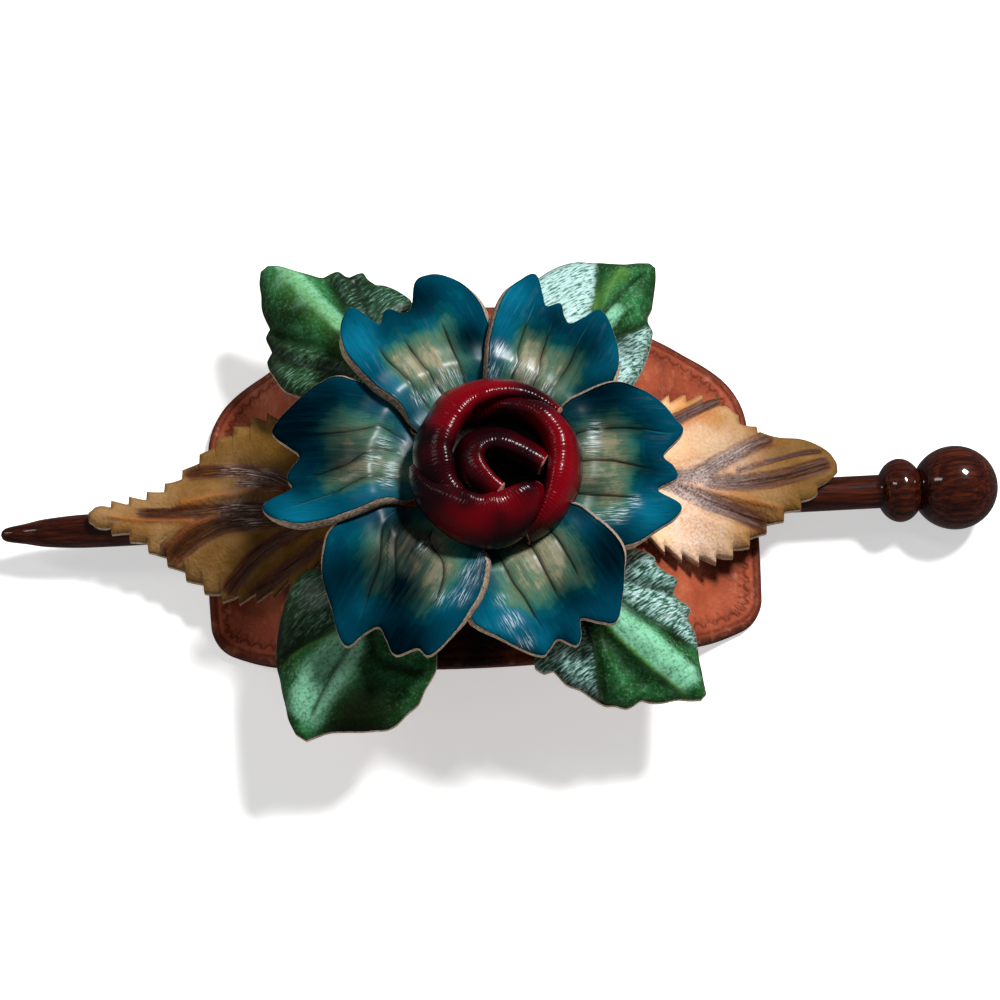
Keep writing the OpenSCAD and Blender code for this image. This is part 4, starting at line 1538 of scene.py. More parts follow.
        blank = np.zeros(self.around)
        spine = np.stack([np.clip(points[:, 0], -24, 24), blank], axis=1)
        inner = points - out * insets[-1]
        for share in np.linspace(1, 0, 22)[:-1] ** 0.8:
            flat = inner + (spine - inner) * share
            add(flat, np.interp(flat[:, 0], face[:, 0], face[:, 1]), blank, 0, 0, insets[-1] + 20 * share)
        for inset in insets[::-1]:
            flat = points - out * inset
            pressed = self.stamps(np.full(self.around, inset), run)
            z = np.interp(flat[:, 0], face[:, 0], face[:, 1]) - 0.26 * pressed
            z -= 0.45 * ease(1 - inset / 0.9) ** 2
            add(flat, z, pressed, 0, 0, inset)
        outside = len(rings)
        top_z = np.interp(points[:, 0], face[:, 0], face[:, 1])
        low_z = np.interp(points[:, 0], back[:, 0], back[:, 1])
        for share, is_cut in ((0.28, 0), (0.34, 1), (0.86, 1)):
            add(points, top_z + (low_z - top_z) * share, blank, is_cut, 0, 0)
        for inset in (0.3, 3.0, 5.5):
            flat = points - out * inset
            add(flat, np.interp(flat[:, 0], back[:, 0], back[:, 1]), blank, 0, 1, inset)
        for share in np.linspace(0, 1, 12)[1:] ** 1.2:
            flat = inner + (spine - inner) * share
            add(flat, np.interp(flat[:, 0], back[:, 0], back[:, 1]), blank, 0, 1, 6 + 20 * share)
        faces = grid_faces(len(rings), self.around, closed=True)[:, ::-1]
        cloud, faces, walls = self.pierce(np.concatenate(rings), faces, outside * self.around)
        wall = 4 * self.hole_sides
        # The last mask is a painted shadow.
        masks = {"pressed": np.concatenate([*depth, np.zeros(wall)]),
                 "cut": np.concatenate([*cut, np.ones(wall)]),
                 "under": np.concatenate([*under, np.zeros(wall)]),
                 "edge": np.concatenate([*edge, np.full(wall, 9)]),
                 "dark": PLATE_PAINTED_SHADOW.at(cloud)}
        return Shape(cloud, [faces, walls], masks).make(self.name)


@dataclass
class Stick:
    """The turned stick: a tapered shaft, a small bead and a larger ball."""

    name: str = "stick_wood"
    length: float = 166.0
    shaft_r: float = 2.85
    knob_r: float = 7.1
    bead_r: float = 5.4
    bead_half: float = 3.9
    neck_r: float = 3.3
    tip: Rows = ((0, 0), (0.3, 0.7), (1, 1.15), (4, 1.7), (7.5, 2.35), (14, 2.8), (18, 2.85))
    sides: int = 96

    def profile(self) -> tuple[Array, Array]:
        """The stick's side line.

        Returns:
            Distances along the stick and radii, and how deep in a groove each point lies.
        """
        knob_at = self.length - self.knob_r
        bead_at = knob_at - self.knob_r - 2.1
        tip_x = np.concatenate([np.linspace(0, 1, 9) ** 2, np.linspace(1, 18, 40)[1:]])
        tip_r = read_column([row[0] for row in self.tip], [row[1] for row in self.tip], tip_x)
        tip_r[0] = 0
        bead_start = math.asin(self.shaft_r / self.bead_r)
        bead_end = math.pi - math.asin(self.neck_r / self.bead_r)
        a = np.linspace(bead_start, bead_end, 40)
        bead = np.stack([bead_at - self.bead_half * np.cos(a), self.bead_r * np.sin(a)], axis=1)
        b = np.linspace(math.asin(self.neck_r / self.knob_r), math.pi, 56)
        ball = np.stack([knob_at - self.knob_r * np.cos(b), self.knob_r * np.sin(b)], axis=1)
        shaft_x = np.linspace(18, bead[0, 0], 120)[1:-1]
        shaft = np.stack([shaft_x, np.full(len(shaft_x), self.shaft_r)], axis=1)
        line = np.concatenate([np.stack([tip_x, tip_r], axis=1), shaft, bead, ball])
        groove = bell((line[:, 0] - bead[0, 0]) / 0.5) + bell((line[:, 0] - bead[-1, 0] - 0.6) / 0.8)
        return line, np.clip(groove, 0, 1)

    def build(self) -> bpy.types.Object:
        """Makes the stick's mesh, slightly uneven as turned by hand."""
        line, groove = self.profile()
        turn = np.linspace(0, 2 * math.pi, self.sides, endpoint=False)[None]
        x = line[:, :1]
        uneven = 0.99 + 0.006 * np.sin(2 * turn + x / 9) + 0.004 * np.sin(3 * turn - x / 5)
        r = np.maximum(line[:, 1:], 0.0) * uneven
        points = np.stack([x - self.length / 2 + 0 * turn, r * np.cos(turn),
                           STICK_Z + r * np.sin(turn)], axis=-1)
        faces = grid_faces(len(line), self.sides, closed=True)
        masks = {"groove": np.repeat(groove, self.sides)}
        return Shape(points.reshape(-1, 3), [faces], masks).make(self.name)


def ringed(a: float, r: float, z: float, half: float, up: float, lean: float) -> tuple[float, ...]:
    """A row of a roll that is given by its angle round the rose and its distance from the middle."""
    return (r * math.cos(math.radians(a)), r * math.sin(math.radians(a)), z, half, up, lean)


@dataclass
class Rose:
    """The strip that is folded and rolled into a rose, as four rolls on a rounded base.

    Columns of a roll's table: place from the rose's middle, height of the roll's middle, half its width,
    its height above that middle, and how far its crest leans to the left of its path.
    """

    name: str = "rose_leather"
    at: tuple[float, float] = (-0.5, -0.3)
    sections: int = 190
    sides: int = 44
    foot_r: float = 4.8
    seat: float = 26.9
    root: float = 23.4
    heart_floor: float = 29.6
    below: float = 3.0

    def rolls(self) -> list[Rows]:
        """The tables of the four rolls."""
        outer = [ringed(38, 12.9, 31.2, 1, 3.2, 0.3), ringed(58, 12.3, 31.9, 1.7, 4.5, 0.9),
                 ringed(78, 11.9, 32.2, 2.1, 5, 1.3), ringed(98, 11.7, 32.3, 2.4, 5.2, 1.5),
                 ringed(123, 11.4, 32.3, 2.9, 5.3, 1.8), ringed(160, 10.5, 32.2, 3.1, 5.2, 1.7),
                 ringed(185, 10, 32, 3, 4.9, 1.5), ringed(205, 9.6, 31.6, 2.7, 4.4, 1.2),
                 ringed(232, 9, 31, 2.2, 3.6, 0.8)]
        right = [ringed(118, 8.9, 29.6, 1, 2, 0), ringed(92, 9.2, 31.2, 1.8, 3.8, -0.3),
                 ringed(70, 9.3, 31.9, 2.1, 4.6, -0.3), ringed(45, 9.9, 32.2, 2.4, 5.1, -0.3),
                 ringed(16, 10.3, 32.4, 2.8, 5.3, -0.4), ringed(-10, 10.6, 32.2, 2.8, 5.2, -0.8),
                 ringed(-38, 11.2, 31.8, 2.2, 4.8, -0.9), ringed(-57, 12, 31.2, 1.5, 4, -0.6),
                 ringed(-72, 12.7, 30.6, 0.8, 3, -0.3)]
        lower = [ringed(178, 13, 30.6, 0.9, 2.2, 0.2), ringed(190, 12.8, 31.2, 1.3, 3.4, 0.5),
                 ringed(205, 12.2, 31.9, 1.9, 4.4, 1.2), ringed(222, 11.3, 32.3, 2.9, 5.1, 2),
                 ringed(245, 11, 32.6, 3.2, 5.4, 2.3), ringed(267, 10.4, 32.8, 3.5, 5.4, 2.6),
                 ringed(288, 9.4, 33, 3.2, 5.2, 2.4), ringed(311, 8.7, 33.1, 2.3, 4.7, 1.4),
                 ringed(325, 8.5, 31.6, 1.5, 3.4, 0.8)]
        inner = [(7.4, -0.9, 33, 1.9, 3.4, 0.4), (3.8, 1.7, 33.1, 2.1, 3.8, 0.8),
                 (0.2, 3.4, 33.1, 2.2, 3.9, 1.2),
                 (-3, 3, 33.1, 2.3, 3.9, 1.4), (-4.7, 0.8, 33.1, 2.3, 3.9, 1.5),
                 (-4.2, -2, 33.1, 2.2, 3.8, 1.5),
                 (-2.4, -4.2, 33.1, 2, 3.6, 1.4), (-0.4, -5.9, 33, 1.8, 3.2, 1.2)]
        return [outer, right, lower, inner]

    def tube(self, table: Rows, steps: int, sides: int) -> tuple[Array, Array, Array, Array]:
        """Sweeps one roll.

        Args:
            table: The roll's rows.
            steps: Sections along it.
            sides: Points round a section.

        Returns:
            Its points, and the masks along, height and cut.
        """
        rows = through(table, steps)
        path = rows[:, :3]
        run = np.gradient(path[:, :2], axis=0)
        run /= np.linalg.norm(run, axis=1, keepdims=True)
        side = np.stack([-run[:, 1], run[:, 0]], axis=1)
        length = np.concatenate([[0], np.cumsum(np.linalg.norm(np.diff(path, axis=0), axis=1))])
        a = np.linspace(0, 2 * math.pi, sides, endpoint=False)[None]
        lift = np.sin(a)
        lean = rows[:, 5:6] * np.maximum(lift, 0) ** 1.3
        wide = rows[:, 3:4] * np.sign(np.cos(a)) * np.abs(np.cos(a)) ** 0.9 + lean
        tall = np.where(lift > 0, rows[:, 4:5] * lift, self.below * lift)
        pinch = 1 + 0.02 * np.sin(length / 0.9)[:, None] + 0.02 * np.sin(length / 2.3 + 2 * a.T).T
        flat = path[:, None, :2] + side[:, None] * (wide * pinch)[..., None]
        z = path[:, 2:3] + tall * pinch
        points = np.dstack([flat, z])
        along = length[:, None] + 0 * a
        height = (np.maximum(lift, 0) ** 0.8) + 0 * along
        cut = np.zeros_like(along)
        cut[0] = 1
        cut[-1] = 1
        return points, along, height, cut

    def build(self) -> bpy.types.Object:
        """Makes the rose's mesh from its rolls and its base."""
        steps, sides = self.sections, self.sides
        points, faces = [], []
        masks: dict[str, list[Array]] = {"along": [], "height": [], "cut": [], "under": []}
        first = 0
        for table in self.rolls():
            tube, along, height, cut = self.tube(table, steps, sides)
            caps = np.stack([tube[0].mean(0), tube[-1].mean(0)])
            points += [tube.reshape(-1, 3), caps]
            faces.append(grid_faces(steps, sides, first, closed=True))
            ring = np.arange(sides)
            after = (ring + 1) % sides
            head = first + steps * sides
            last = first + (steps - 1) * sides
            faces.append(np.stack([np.full(sides, head), first + after, first + ring], axis=1))
            faces.append(np.stack([np.full(sides, head + 1), last + ring, last + after], axis=1))
            for name, values in (("along", along), ("height", height), ("cut", cut)):
                masks[name].append(np.concatenate([values.ravel(), [1.0, 1.0]]))
            masks["under"].append(np.zeros(steps * sides + 2))
            first += steps * sides + 2
        base = [(0.01, self.heart_floor), (6, self.heart_floor), (10, 30.4), (12.6, 31.2), (13.4, 31),
                (12.8, 29.6), (10, 28.5), (7, 27.6), (self.foot_r, self.seat), (self.foot_r, self.root),
                (0.01, self.root)]
        turn = np.linspace(0, 2 * math.pi, 96, endpoint=False)
        body = np.array([[(r * np.cos(t), r * np.sin(t), z) for t in turn] for r, z in base])
        points.append(body.reshape(-1, 3))
        faces.append(grid_faces(len(base), len(turn), first, closed=True)[:, ::-1])
        for name in masks:
            masks[name].append(np.zeros(len(base) * len(turn)))
        cloud = np.concatenate(points) + np.array([self.at[0], self.at[1], 0])
        joined = {name: np.concatenate(parts) for name, parts in masks.items()}
        # The last two masks are painted shade with darker dye, and painted light.
        joined["dark"] = ROSE_DARK_DYE_AND_SHADE.at(cloud)
        joined["bright"] = ROSE_PAINTED_LIGHT.at(cloud)
        return Shape(cloud, faces, joined).make(self.name)


# The flower's and the leaves' own tables

PETALS = (
    Petal("petal_right", -2,
          ((-42, 18), (-38, 24), (-32, 27.2), (-23, 29.8), (-17, 32.2), (-13, 32.5), (-10, 28.6),
           (-5.5, 31.4),
           (-2, 30.8), (1.5, 29.3), (8, 32.8), (12, 32), (18, 30.5), (24, 28.3), (31, 24.8), (35, 18)),
          (((12, 16), (16, 16), (21, 14), (29, 8.3), (32, 7.4)),
           ((12, 0), (20, 0), (23, -1.6), (28, -4.6)),
           ((12, -18), (17, -18), (21, -15.6), (27, -14.4)))),
    Petal("petal_upper_right", 58,
          ((-38, 18), (-34, 23), (-29, 26), (-23, 28.6), (-15, 31.2), (-8, 32.7), (-5.5, 30), (-3, 27.8),
           (0, 28.4), (3, 30), (6.5, 28.6), (9, 30.2), (13, 33.3), (17, 31.5), (22, 28), (26, 20)),
          (((13, 9), (18, 9), (20, 10.7), (28.7, 10.2)),
           ((13, -6), (17.5, -3.4), (20.5, -0.2), (27, 2.7)),
           ((14, -14), (21, -12.6), (26, -9.2), (29.6, -8.1)))),
    Petal("petal_upper_left", 118,
          ((-38, 18), (-35, 25), (-29, 29.6), (-21, 32.8), (-16, 33.4), (-12.5, 32.6), (-9, 28.8),
           (-5.5, 28.1), (-2.5, 29.6), (0, 29.6), (3.5, 28.3), (6.5, 33.3), (10, 33), (14, 31.3),
           (20, 27.6),
           (23.5, 20)),
          (((12, 7.5), (18.7, 8.3), (22.2, 9.5), (25.8, 8.7)),
           ((12, -6.5), (18.2, -3), (21.6, -1.5), (24.7, -0.9)),
           ((13, -23), (15.8, -21.4), (19.9, -18.7), (25, -16.7)))),
    Petal("petal_left", 178,
          ((-40, 18), (-36, 26), (-29, 28.8), (-20, 31), (-12, 33), (-9, 32.6), (-6, 30), (-3, 28.2),
           (2, 29.8), (5, 30), (8, 29.7), (11, 34.4), (16, 33.1), (21, 30), (24, 25)),
          (((13, -23), (16.4, -23.5), (18.9, -19.4), (21.7, -15), (25.4, -11.4), (28.5, -10.3)),
           ((13, -13), (15.8, -10.5), (18.7, -4.9), (21, 0.2), (24.9, 4.1), (28, 4.6)),
           ((13, 7), (17.2, 6.8), (20.4, 9.3), (23.8, 13), (31, 14)))),
    Petal("petal_lower_left", 238,
          ((-40, 19), (-37, 25), (-32, 27.6), (-24, 30.3), (-15, 32.6), (-9, 35), (-5, 35.7), (-3, 32.6),
           (-0.5, 30.8), (3, 32), (7, 33.6), (12, 31.6), (16, 32.2), (22, 28.1), (31, 22.5), (36, 17)),
          (((13, -32), (16.8, -29.4), (21.9, -15), (26.7, -9.5), (32, -6.1)),
           ((14, -24), (16.9, -19), (22.3, -5.7), (27, -1)),
           ((13, -5), (14.2, -2.9), (17.4, 10.8), (21.7, 13.4), (25.9, 10.8)))),
    Petal("petal_lower_right", 298,
          ((-39, 18), (-35, 25), (-31, 27), (-24, 28.6), (-14, 32.5), (-11, 32.2), (-7.5, 31.2), (-4, 33.2),
           (-1.5, 32.4), (1, 30.1), (5, 32.1), (8.5, 33.6), (14, 31.6), (20, 29.2), (28, 26.2), (35, 18)),
          (((13, -20), (15.7, -18.3), (19.9, -15.5), (23.5, -12.9), (29.4, -11)),
           ((13, 1), (18.9, -0.2), (26.3, -2.1)),
           ((14, 15), (17.5, 13.3), (20, 11.7), (25, 8.1)))),
)

YELLOW_TEETH = Teeth(start=20, pitch=2.9, depth=1.5, left_end=99)
YELLOW_RIGHT_TEETH = Teeth(start=20, pitch=2.9, depth=1.5, left_end=45)


def split(table: Rows) -> dict[str, Rows]:
    """A yellow leaf's table as the rows of its heights and of its two edges.

    Columns of the table: distance along the midrib, half width on the left and on the right, height of the
    midrib, and how far the left and the right edge hang below it.
    """
    return {
        "height": [(s, z, low_left, low_right) for s, _, _, z, low_left, low_right in table],
        "left": [(row[0], row[1]) for row in table],
        "right": [(row[0], row[2]) for row in table],
    }


def green(hang_left: float, hang_right: float) -> Rows:
    """The heights that the green leaves share, with a leaf's own hang on each side."""
    shared = ((0, 23.5, 0), (10, 22.9, 0.2), (15, 22.3, 0.6), (20, 21.8, 1.1), (24, 21.3, 1.6),
              (28, 20.6, 2.4), (32, 19.9, 2.4), (36, 19.1, 1.6), (39, 18.2, 0.8), (41, 17.6, 0))
    return [(s, z, hang * hang_left, hang * hang_right) for s, z, hang in shared]


YELLOW_LEAVES = (
    Leaf("leaf_yellow_left", (-6, 1.6), 180.6, **split((
        (0, 3, 3, 22.3, 0, 0), (7, 3.5, 3.5, 21.3, 0, 0), (14, 4, 4, 19.4, 0, 0),
        (19, 8, 8, 17.2, 0.2, 0.2),
        (24, 11.6, 12, 14.6, 0.3, 0.3), (29, 13.8, 15, 12.1, 0.8, 0.8), (33, 14.7, 16.2, 11.4, 2.2, 2),
        (37, 14.7, 14.8, 11.2, 3.4, 2.6), (41, 13.8, 12.2, 11.1, 4.2, 2.6), (45, 11.1, 8.6, 11.1, 4.2, 2.4),
        (49, 7.8, 5.2, 11.1, 3.2, 2), (53, 4.9, 3.2, 11.1, 1.4, 1), (57, 2.8, 2.3, 11, 0.4, 0.5),
        (60.5, 1.6, 1.7, 10.9, 0.1, 0.2), (61.8, 0.7, 0.7, 10.9, 0, 0))),
        lines=(
            Line(Mark.BAND, ((26, 0.2), (33, 0.2), (38.5, 0), (43.4, 0.1), (48.3, 0.2), (55, -0.2)),
                 (1.3, 0.9), 0.3),
            Line(Mark.CREST, ((30, -2.6), (35.1, -2.6), (38.4, -2.1), (43.4, -1.6), (48, -0.9)),
                 (0.6, 0.8), 0.7),
            Line(Mark.CREST, ((45, 1.7), (51.6, 1.2), (59, 0.4)), (0.4, 0.4), 0.35),
            Line(Mark.BAND, ((26, -1.5), (28.1, -2.9), (31.7, -5.1), (36.7, -6.5), (41.7, -7), (47, -7.1)),
                 (1.2, 1.2), 0.3),
            Line(Mark.BAND, ((27, -1.4), (28.8, -2), (33.1, -3.6), (38, -4.4)), (0.7, 0.5), 0.2),
            Line(Mark.BAND,
                 ((29, 2.4), (34, 2.4), (38, 2.5), (41, 3), (44.5, 4.6), (47.6, 6.4), (50.4, 8.4)),
                 (1.4, 2.4), 0.35),
            Line(Mark.CREST, ((40.5, 0.9), (44.8, 2.6), (49.5, 5.6)), (0.3, 0.3), 0.3),
            Line(Mark.BAND, ((25, 4), (28.4, 5.1), (31.6, 6.2), (35, 8.4), (38.4, 11.6), (40.6, 14)),
                 (1.5, 1), 0.3),
            Line(Mark.BAND, ((24, 8.4), (28.1, 10.8), (32.8, 13.4), (36.2, 15.4)), (0.9, 1.4), 0.3)),
        fold=0.7, teeth=YELLOW_TEETH, pale=(0.0, 0.22)),
    Leaf("leaf_yellow_right", (-1, 0.5), 0, **split((
        (0, 3, 3, 22.3, 0, 0), (7, 3.5, 3.5, 21.6, 0, 0), (14, 4, 4, 19.8, 0, 0),
        (19, 9, 6.2, 17.6, 0.2, 0),
        (24, 13, 9.2, 14.8, 0.3, -1), (28, 15.4, 11.1, 12.7, 0.5, 0), (32, 16.6, 11.8, 11.6, 1.6, 1.8),
        (36, 16.8, 11.6, 11.3, 2.4, 2.6), (39.4, 15.6, 10.4, 11.2, 2.6, 3),
        (41.4, 12.6, 9.5, 11.2, 2.6, 2.8),
        (44, 10, 8.1, 11.2, 2.4, 2), (48, 7.5, 6.5, 11.1, 2, 0.7), (51.5, 6.3, 5, 11.1, 1.6, 0.2),
        (54, 4.7, 2.9, 11, 0.8, 0.1), (56, 2.8, 1.5, 10.9, 0.3, 0), (57, 0.8, 0.6, 10.9, 0, 0))),
        lines=(
            Line(Mark.BAND, ((22, 1), (28.2, 1.8), (34.1, 1.9), (38, 1.6)), (0.35, 0.3), 0.15),
            Line(Mark.BAND, ((36, 1.2), (40, 0.9), (45, 1.2), (50, 2), (56.6, 3.8)), (1.1, 1.5), 0.3),
            Line(Mark.BAND, ((30, 1.9), (33.5, 2.4), (36.6, 4), (40.3, 6), (44.1, 7.9), (47.8, 9.2)),
                 (1.2, 1.4), 0.3),
            Line(Mark.BAND, ((40.5, 2.9), (43.6, 3.7), (47.6, 4.8), (52, 5.6), (55.6, 5.8)),
                 (0.45, 0.5), 0.2),
            Line(Mark.CREST, ((38.4, 2.6), (41.6, 3.4), (45.1, 4.4)), (0.3, 0.35), 0.3),
            Line(Mark.BAND,
                 ((26, 1.4), (29.5, 0.7), (32.4, -0.6), (36, -2.5), (39.7, -4), (43, -5.4), (46, -6.8)),
                 (1.1, 1.6), 0.3),
            Line(Mark.CREST, ((31, 1), (35.6, -0.6), (39.6, -1.9), (44, -3.2), (48.4, -4.6)),
                 (0.5, 0.4), 0.4),
            Line(Mark.BAND, ((22, 6), (27.1, 10), (31.2, 12.4), (35.1, 14.6), (40, 16.8)), (1.1, 0.9), 0.3),
            Line(Mark.CREST, ((22, 3.5), (27.4, 8), (33.2, 11.7), (40, 15.4)), (0.5, 0.6), 0.45)),
        fold=0.7, teeth=YELLOW_RIGHT_TEETH, swing=2.6, pale=(1.0, 0.1)),
)

GREEN_LEAVES = (
    Leaf("leaf_green_upper_left", (-10.9, 9.6), 130.4, green(1.6, 0.7),
         left=((0, 2.5), (10, 5), (15, 8.5), (19, 11.3), (22, 12.3), (25.6, 11.6), (27.6, 11), (28.6, 10.4),
               (29.3, 8.8), (31, 8.1), (32.1, 7.7), (32.9, 6.1), (34.4, 5.6), (36, 5), (38, 3.4),
               (39.6, 2.3),
               (41, 0.7)),
         right=((0, 2.5), (10, 5), (15, 9.5), (19, 13.1), (21.5, 12.8), (24, 12), (25.4, 11.1), (27, 11),
                (28.6, 11.3), (29.2, 10.6), (29.7, 9.2), (30.6, 8.8), (31.6, 8.7), (32.3, 8), (32.8, 6.1),
                (34.4, 5), (37, 3.5), (39.6, 2.2), (41, 0.7)),
         lines=(
             Line(Mark.CREST, ((16, -1), (23, -0.9), (30.1, -1), (34.4, -1.4), (39, -2.1)),
                  (2.6, 1.6), 1.5),
             Line(Mark.CREASE, ((14, -1.5), (21.3, -2.8), (24.9, -3.9), (28.5, -5), (32.6, -6.6)),
                  (0.8, 0.8), 0.8, -0.3),
             Line(Mark.CREASE, ((14, 0.5), (19.8, 1.9), (23, 3.6), (27, 5.3), (32.6, 6.9)), (0.8, 1),
                  0.9, 0.06),
             Line(Mark.CREASE, ((16, -4), (18.9, -5), (23.6, -7), (29.4, -9.6)), (0.8, 0.8), 0.4),
             Line(Mark.CREASE, ((16, 3), (20, 5.5), (24, 8), (29, 9.4)), (0.8, 0.8), 0.4)),
         fold=1.1, painted_sheen_stripe=(-0.6, 2.2, 18, 44)),
    Leaf("leaf_green_upper_right", (-1, 8.6), 46, green(0.8, 1.8),
         left=((0, 2.5), (10, 5), (15, 8), (21.5, 12), (24, 12.6), (27.6, 12.3), (29.6, 11.8), (31.6, 10.9),
               (33, 9.9), (34.4, 8.2), (35.5, 6.9), (36.5, 5.5), (38, 3.6), (39.6, 2.2), (41, 0.6)),
         right=((0, 2.5), (10, 5), (16, 9.3), (19, 11.2), (21.5, 11.6), (24, 11.2), (27.6, 9.9),
                (31.6, 7.9),
                (32.6, 7.2), (33.3, 5.6), (34.2, 4.9), (35.4, 4.6), (36.6, 3.9), (38, 3),
                (39.6, 1.9), (41, 0.6)),
         lines=(
             Line(Mark.VEIN, ((18, -0.6), (26.9, -0.1), (30.4, 0.2), (34.5, 0.2), (40, 0.1)), deep=0.35),
             Line(Mark.CREASE,
                  ((14, -0.8), (20, -0.6), (23.3, -0.2), (27.8, 1.4), (31.6, 4), (35.6, 7)), (0.8, 0.8),
                  0.8, 1.0),
             Line(Mark.CREASE, ((14, -1), (20, -2.4), (24.1, -3.5), (27.5, -4.3), (30.5, -5.2), (33.4, -6)),
                  (0.8, 0.8), 0.8, -0.85),
             Line(Mark.CREST, ((28, 1.6), (33, 2.6), (37.5, 2.2)), (1.2, 1.2), 0.5)),
         fold=1.1, painted_sheen_stripe=(-1.6, 1.6, 18, 32)),
    Leaf("leaf_green_lower_left", (-9, -6.2), 234, green(0.8, 2.2),
         left=((0, 2.5), (10, 5), (15, 8), (19, 10.8), (21.5, 12), (24.5, 12.1), (26.4, 12.4), (29, 11.7),
               (31.2, 11.2), (32.6, 10.4), (33.6, 9.1), (35, 7.3), (36.5, 5), (38, 2.9), (39.6, 1.6),
               (41, 0.6)),
         right=((0, 2.5), (10, 6), (16, 12), (19, 14.8), (21.5, 15.3), (24.7, 14.8), (27.6, 14),
                (30.6, 12.5),
                (33, 10.9), (34.9, 8.8), (36.7, 7), (38, 5.5), (39.6, 3.8), (41, 1.4)),
         lines=(
             Line(Mark.VEIN,
                  ((17, -1.8), (21.5, -1.7), (25.5, -1.4), (30.4, -1.5), (36, -1), (38.6, -0.6)), deep=0.4),
             Line(Mark.CREASE, ((15, -2.6), (21, -4), (24.1, -5.2), (28.4, -8.7), (33.4, -11.4)),
                  (0.9, 0.8), 0.8, -0.05),
             Line(Mark.CREST, ((20, -2.6), (24.1, -4.2), (28.4, -7.5), (32, -9.6)), (0.5, 0.5), 0.4),
             Line(Mark.CREASE, ((16, -0.4), (21, 0.2), (24.4, 3), (23.9, 7.1), (22, 11.7)),
                  (0.8, 0.9), 0.6)),
         fold=1.0, painted_sheen_stripe=(-1.2, 4.6, 21, 40)),
    Leaf("leaf_green_lower_right", (0.7, -7.5), 316, green(2.6, 0.8),
         left=((0, 2.5), (10, 5), (16, 9.8), (19, 11.9), (20.6, 12.2), (21.6, 11.6), (23.7, 11.9),
               (25.3, 12.5),
               (25.8, 11.8), (26.2, 10.5), (27.6, 10.5), (29, 10.8), (30, 10.5), (30.5, 9.2), (31.9, 8.6),
               (33.2, 7.9), (35, 6.2), (36.5, 4.7), (38, 3.4), (39.6, 1.9), (41, 0.6)),
         right=((0, 2.5), (10, 5.5), (16, 11.2), (18.6, 14.6), (20, 14.3), (20.9, 13), (23.5, 13.2),
                (26.1, 12.2),
                (28.7, 11.8), (30.2, 11.4), (31.4, 10.4), (33, 9.5), (33.5, 8.6), (33.9, 7), (35.2, 6.3),
                (36.5, 5.2), (38.2, 3), (39.6, 1.9), (41, 0.6)),
         lines=(
             Line(Mark.CREST, ((17, -1.6), (22.6, -2.1), (25.9, -2.5), (32.9, -2.5), (40.2, -2)),
                  (0.5, 0.5), 0.5),
             Line(Mark.CREASE, ((18, -2.6), (22, -3.4), (24.9, -3.8), (28.1, -4.2), (34, -4.6)),
                  (1, 1.6), 0.7),
             Line(Mark.CREASE, ((14, 0.5), (19.7, 2.2), (24, 2.6), (28.8, 4), (35.4, 5.4)),
                  (0.8, 0.9), 0.7, 0.7),
             Line(Mark.CREASE, ((14, 3.5), (17.3, 5.4), (20.6, 6.4), (24, 8.6), (27, 10.8)),
                  (0.8, 0.8), 0.7),
             Line(Mark.CREASE, ((17, -2.6), (20.5, -4.2), (23.4, -5.8), (26.3, -8.3), (30.4, -11.8)),
                  (0.8, 0.8),
                  0.7, -0.65)),
         fold=1.0, painted_sheen_stripe=(2.6, 3.2, 19, 40)),
)


# Studio

@dataclass(frozen=True)
class Lamp:
    """A soft panel of light that faces the flower."""

    name: str
    towards: tuple[float, float, float]
    away: float
    size: tuple[float, float]
    power: float
    colour: tuple[float, float, float] = (1.0, 1.0, 1.0)
    mirrored: bool = True

    def build(self) -> bpy.types.Object:
        """Makes the lamp at its distance, turned to the flower."""
        data = bpy.data.lights.new(self.name, "AREA")
        data.shape = "RECTANGLE"
        data.size, data.size_y = self.size
        data.energy = self.power
        data.color = self.colour
        lamp = bpy.data.objects.new(self.name, data)
        lamp.visible_glossy = self.mirrored
        way = Vector(self.towards).normalized()
        lamp.location = way * self.away
        lamp.rotation_euler = way.to_track_quat("Z", "Y").to_euler()
        bpy.context.scene.collection.objects.link(lamp)
        return lamp


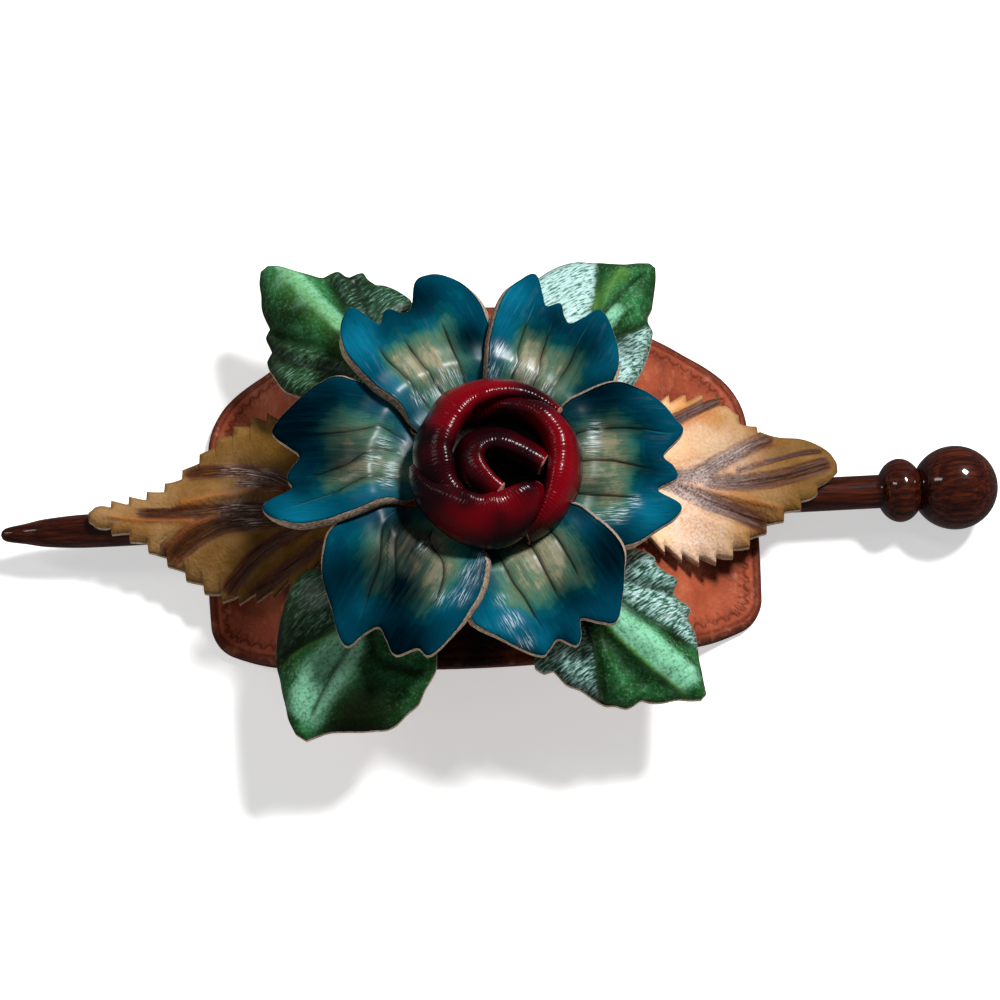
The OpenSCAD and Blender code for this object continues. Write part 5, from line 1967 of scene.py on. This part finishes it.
@dataclass
class Studio:
    """The pale floor, the soft lamps and the camera."""

    view: View = PHOTO
    floor_half: float = 12.0
    floor_glow: float = 0.5
    floor_dim: str = "f4f3f1"
    floor_pale: str = "fbfaf8"
    floor_light: str = "ffffff"

    def floor(self) -> bpy.types.Object:
        """Makes the pale floor, which isn't part of the object."""
        h = self.floor_half
        mesh = bpy.data.meshes.new("studio_floor")
        mesh.from_pydata([(-h, -h, 0), (h, -h, 0), (h, h, 0), (-h, h, 0)], [], [(0, 1, 2, 3)])
        floor = bpy.data.objects.new("studio_floor", mesh)
        bpy.context.scene.collection.objects.link(floor)
        shader = Shader("studio_floor")
        cloud = shader.noise(shader.place(), 0.02, 2.0)
        colour = shader.blend(cloud, tone(self.floor_dim), tone(self.floor_pale))
        glow = {"Emission Color": tone(self.floor_light), "Emission Strength": self.floor_glow}
        mesh.materials.append(shader.close(colour, 0.75, cloud * 0.01, 0.0, glow))
        floor.visible_glossy = False
        return floor

    def world(self) -> None:
        """Sets the soft light from all round."""
        world = bpy.data.worlds.new("studio_world")
        world.use_nodes = True
        sky = world.node_tree.nodes["Background"]
        sky.inputs["Color"].default_value = (0.93, 0.96, 1.0, 1.0)
        sky.inputs["Strength"].default_value = 0.1
        bpy.context.scene.world = world

    def camera(self) -> bpy.types.Object:
        """Makes the camera at the photograph's angle."""
        data = bpy.data.cameras.new("studio_camera")
        data.lens = self.view.focal
        data.sensor_width = self.view.sensor
        data.clip_start = 0.01
        camera = bpy.data.objects.new("studio_camera", data)
        back = Vector(self.view.back())
        camera.location = Vector(self.view.target) + back * self.view.distance
        camera.rotation_euler = back.to_track_quat("Z", "Y").to_euler()
        bpy.context.scene.collection.objects.link(camera)
        bpy.context.scene.camera = camera
        return camera

    def build(self) -> None:
        """Makes the whole studio."""
        self.floor()
        self.world()
        self.camera()
        for lamp in (
            Lamp("key_lamp", (0.42, 0.37, 0.81), 0.75, (0.15, 0.11), 7.0),
            Lamp("fill_lamp", (-0.7, -0.35, 0.65), 0.9, (0.5, 0.5), 0.3, mirrored=False),
            Lamp("side_lamp", (-0.72, 0.25, 0.65), 0.75, (0.08, 0.3), 0.6),
        ):
            lamp.build()
        bpy.context.scene.view_settings.view_transform = "Standard"


def main() -> None:
    """Builds the pieces in order, then the studio."""
    logging.basicConfig(level=logging.INFO, format="%(message)s")
    plate = Plate()
    Piece(plate.name, "back_plate", Body.BARRETTE, "plate_leather").place(
        plate.build(), PlateFinish().material())
    stick = Stick()
    Piece(stick.name, "stick", Body.STICK, "stick_wood").place(stick.build(), WoodFinish().material())
    for parts, slot, finish in (
        (YELLOW_LEAVES, "yellow_leather", YellowFinish()),
        (GREEN_LEAVES, "green_leather", GreenFinish()),
        (PETALS, "petal_leather", PetalFinish()),
    ):
        material = finish.material()
        for part in parts:
            Piece(part.name, part.node, Body.BARRETTE, slot).place(part.build(), material)
    rose = Rose()
    Piece(rose.name, "rose", Body.BARRETTE, "rose_leather").place(rose.build(), RoseFinish().material())
    Studio().build()


if __name__ == "__main__":
    main()
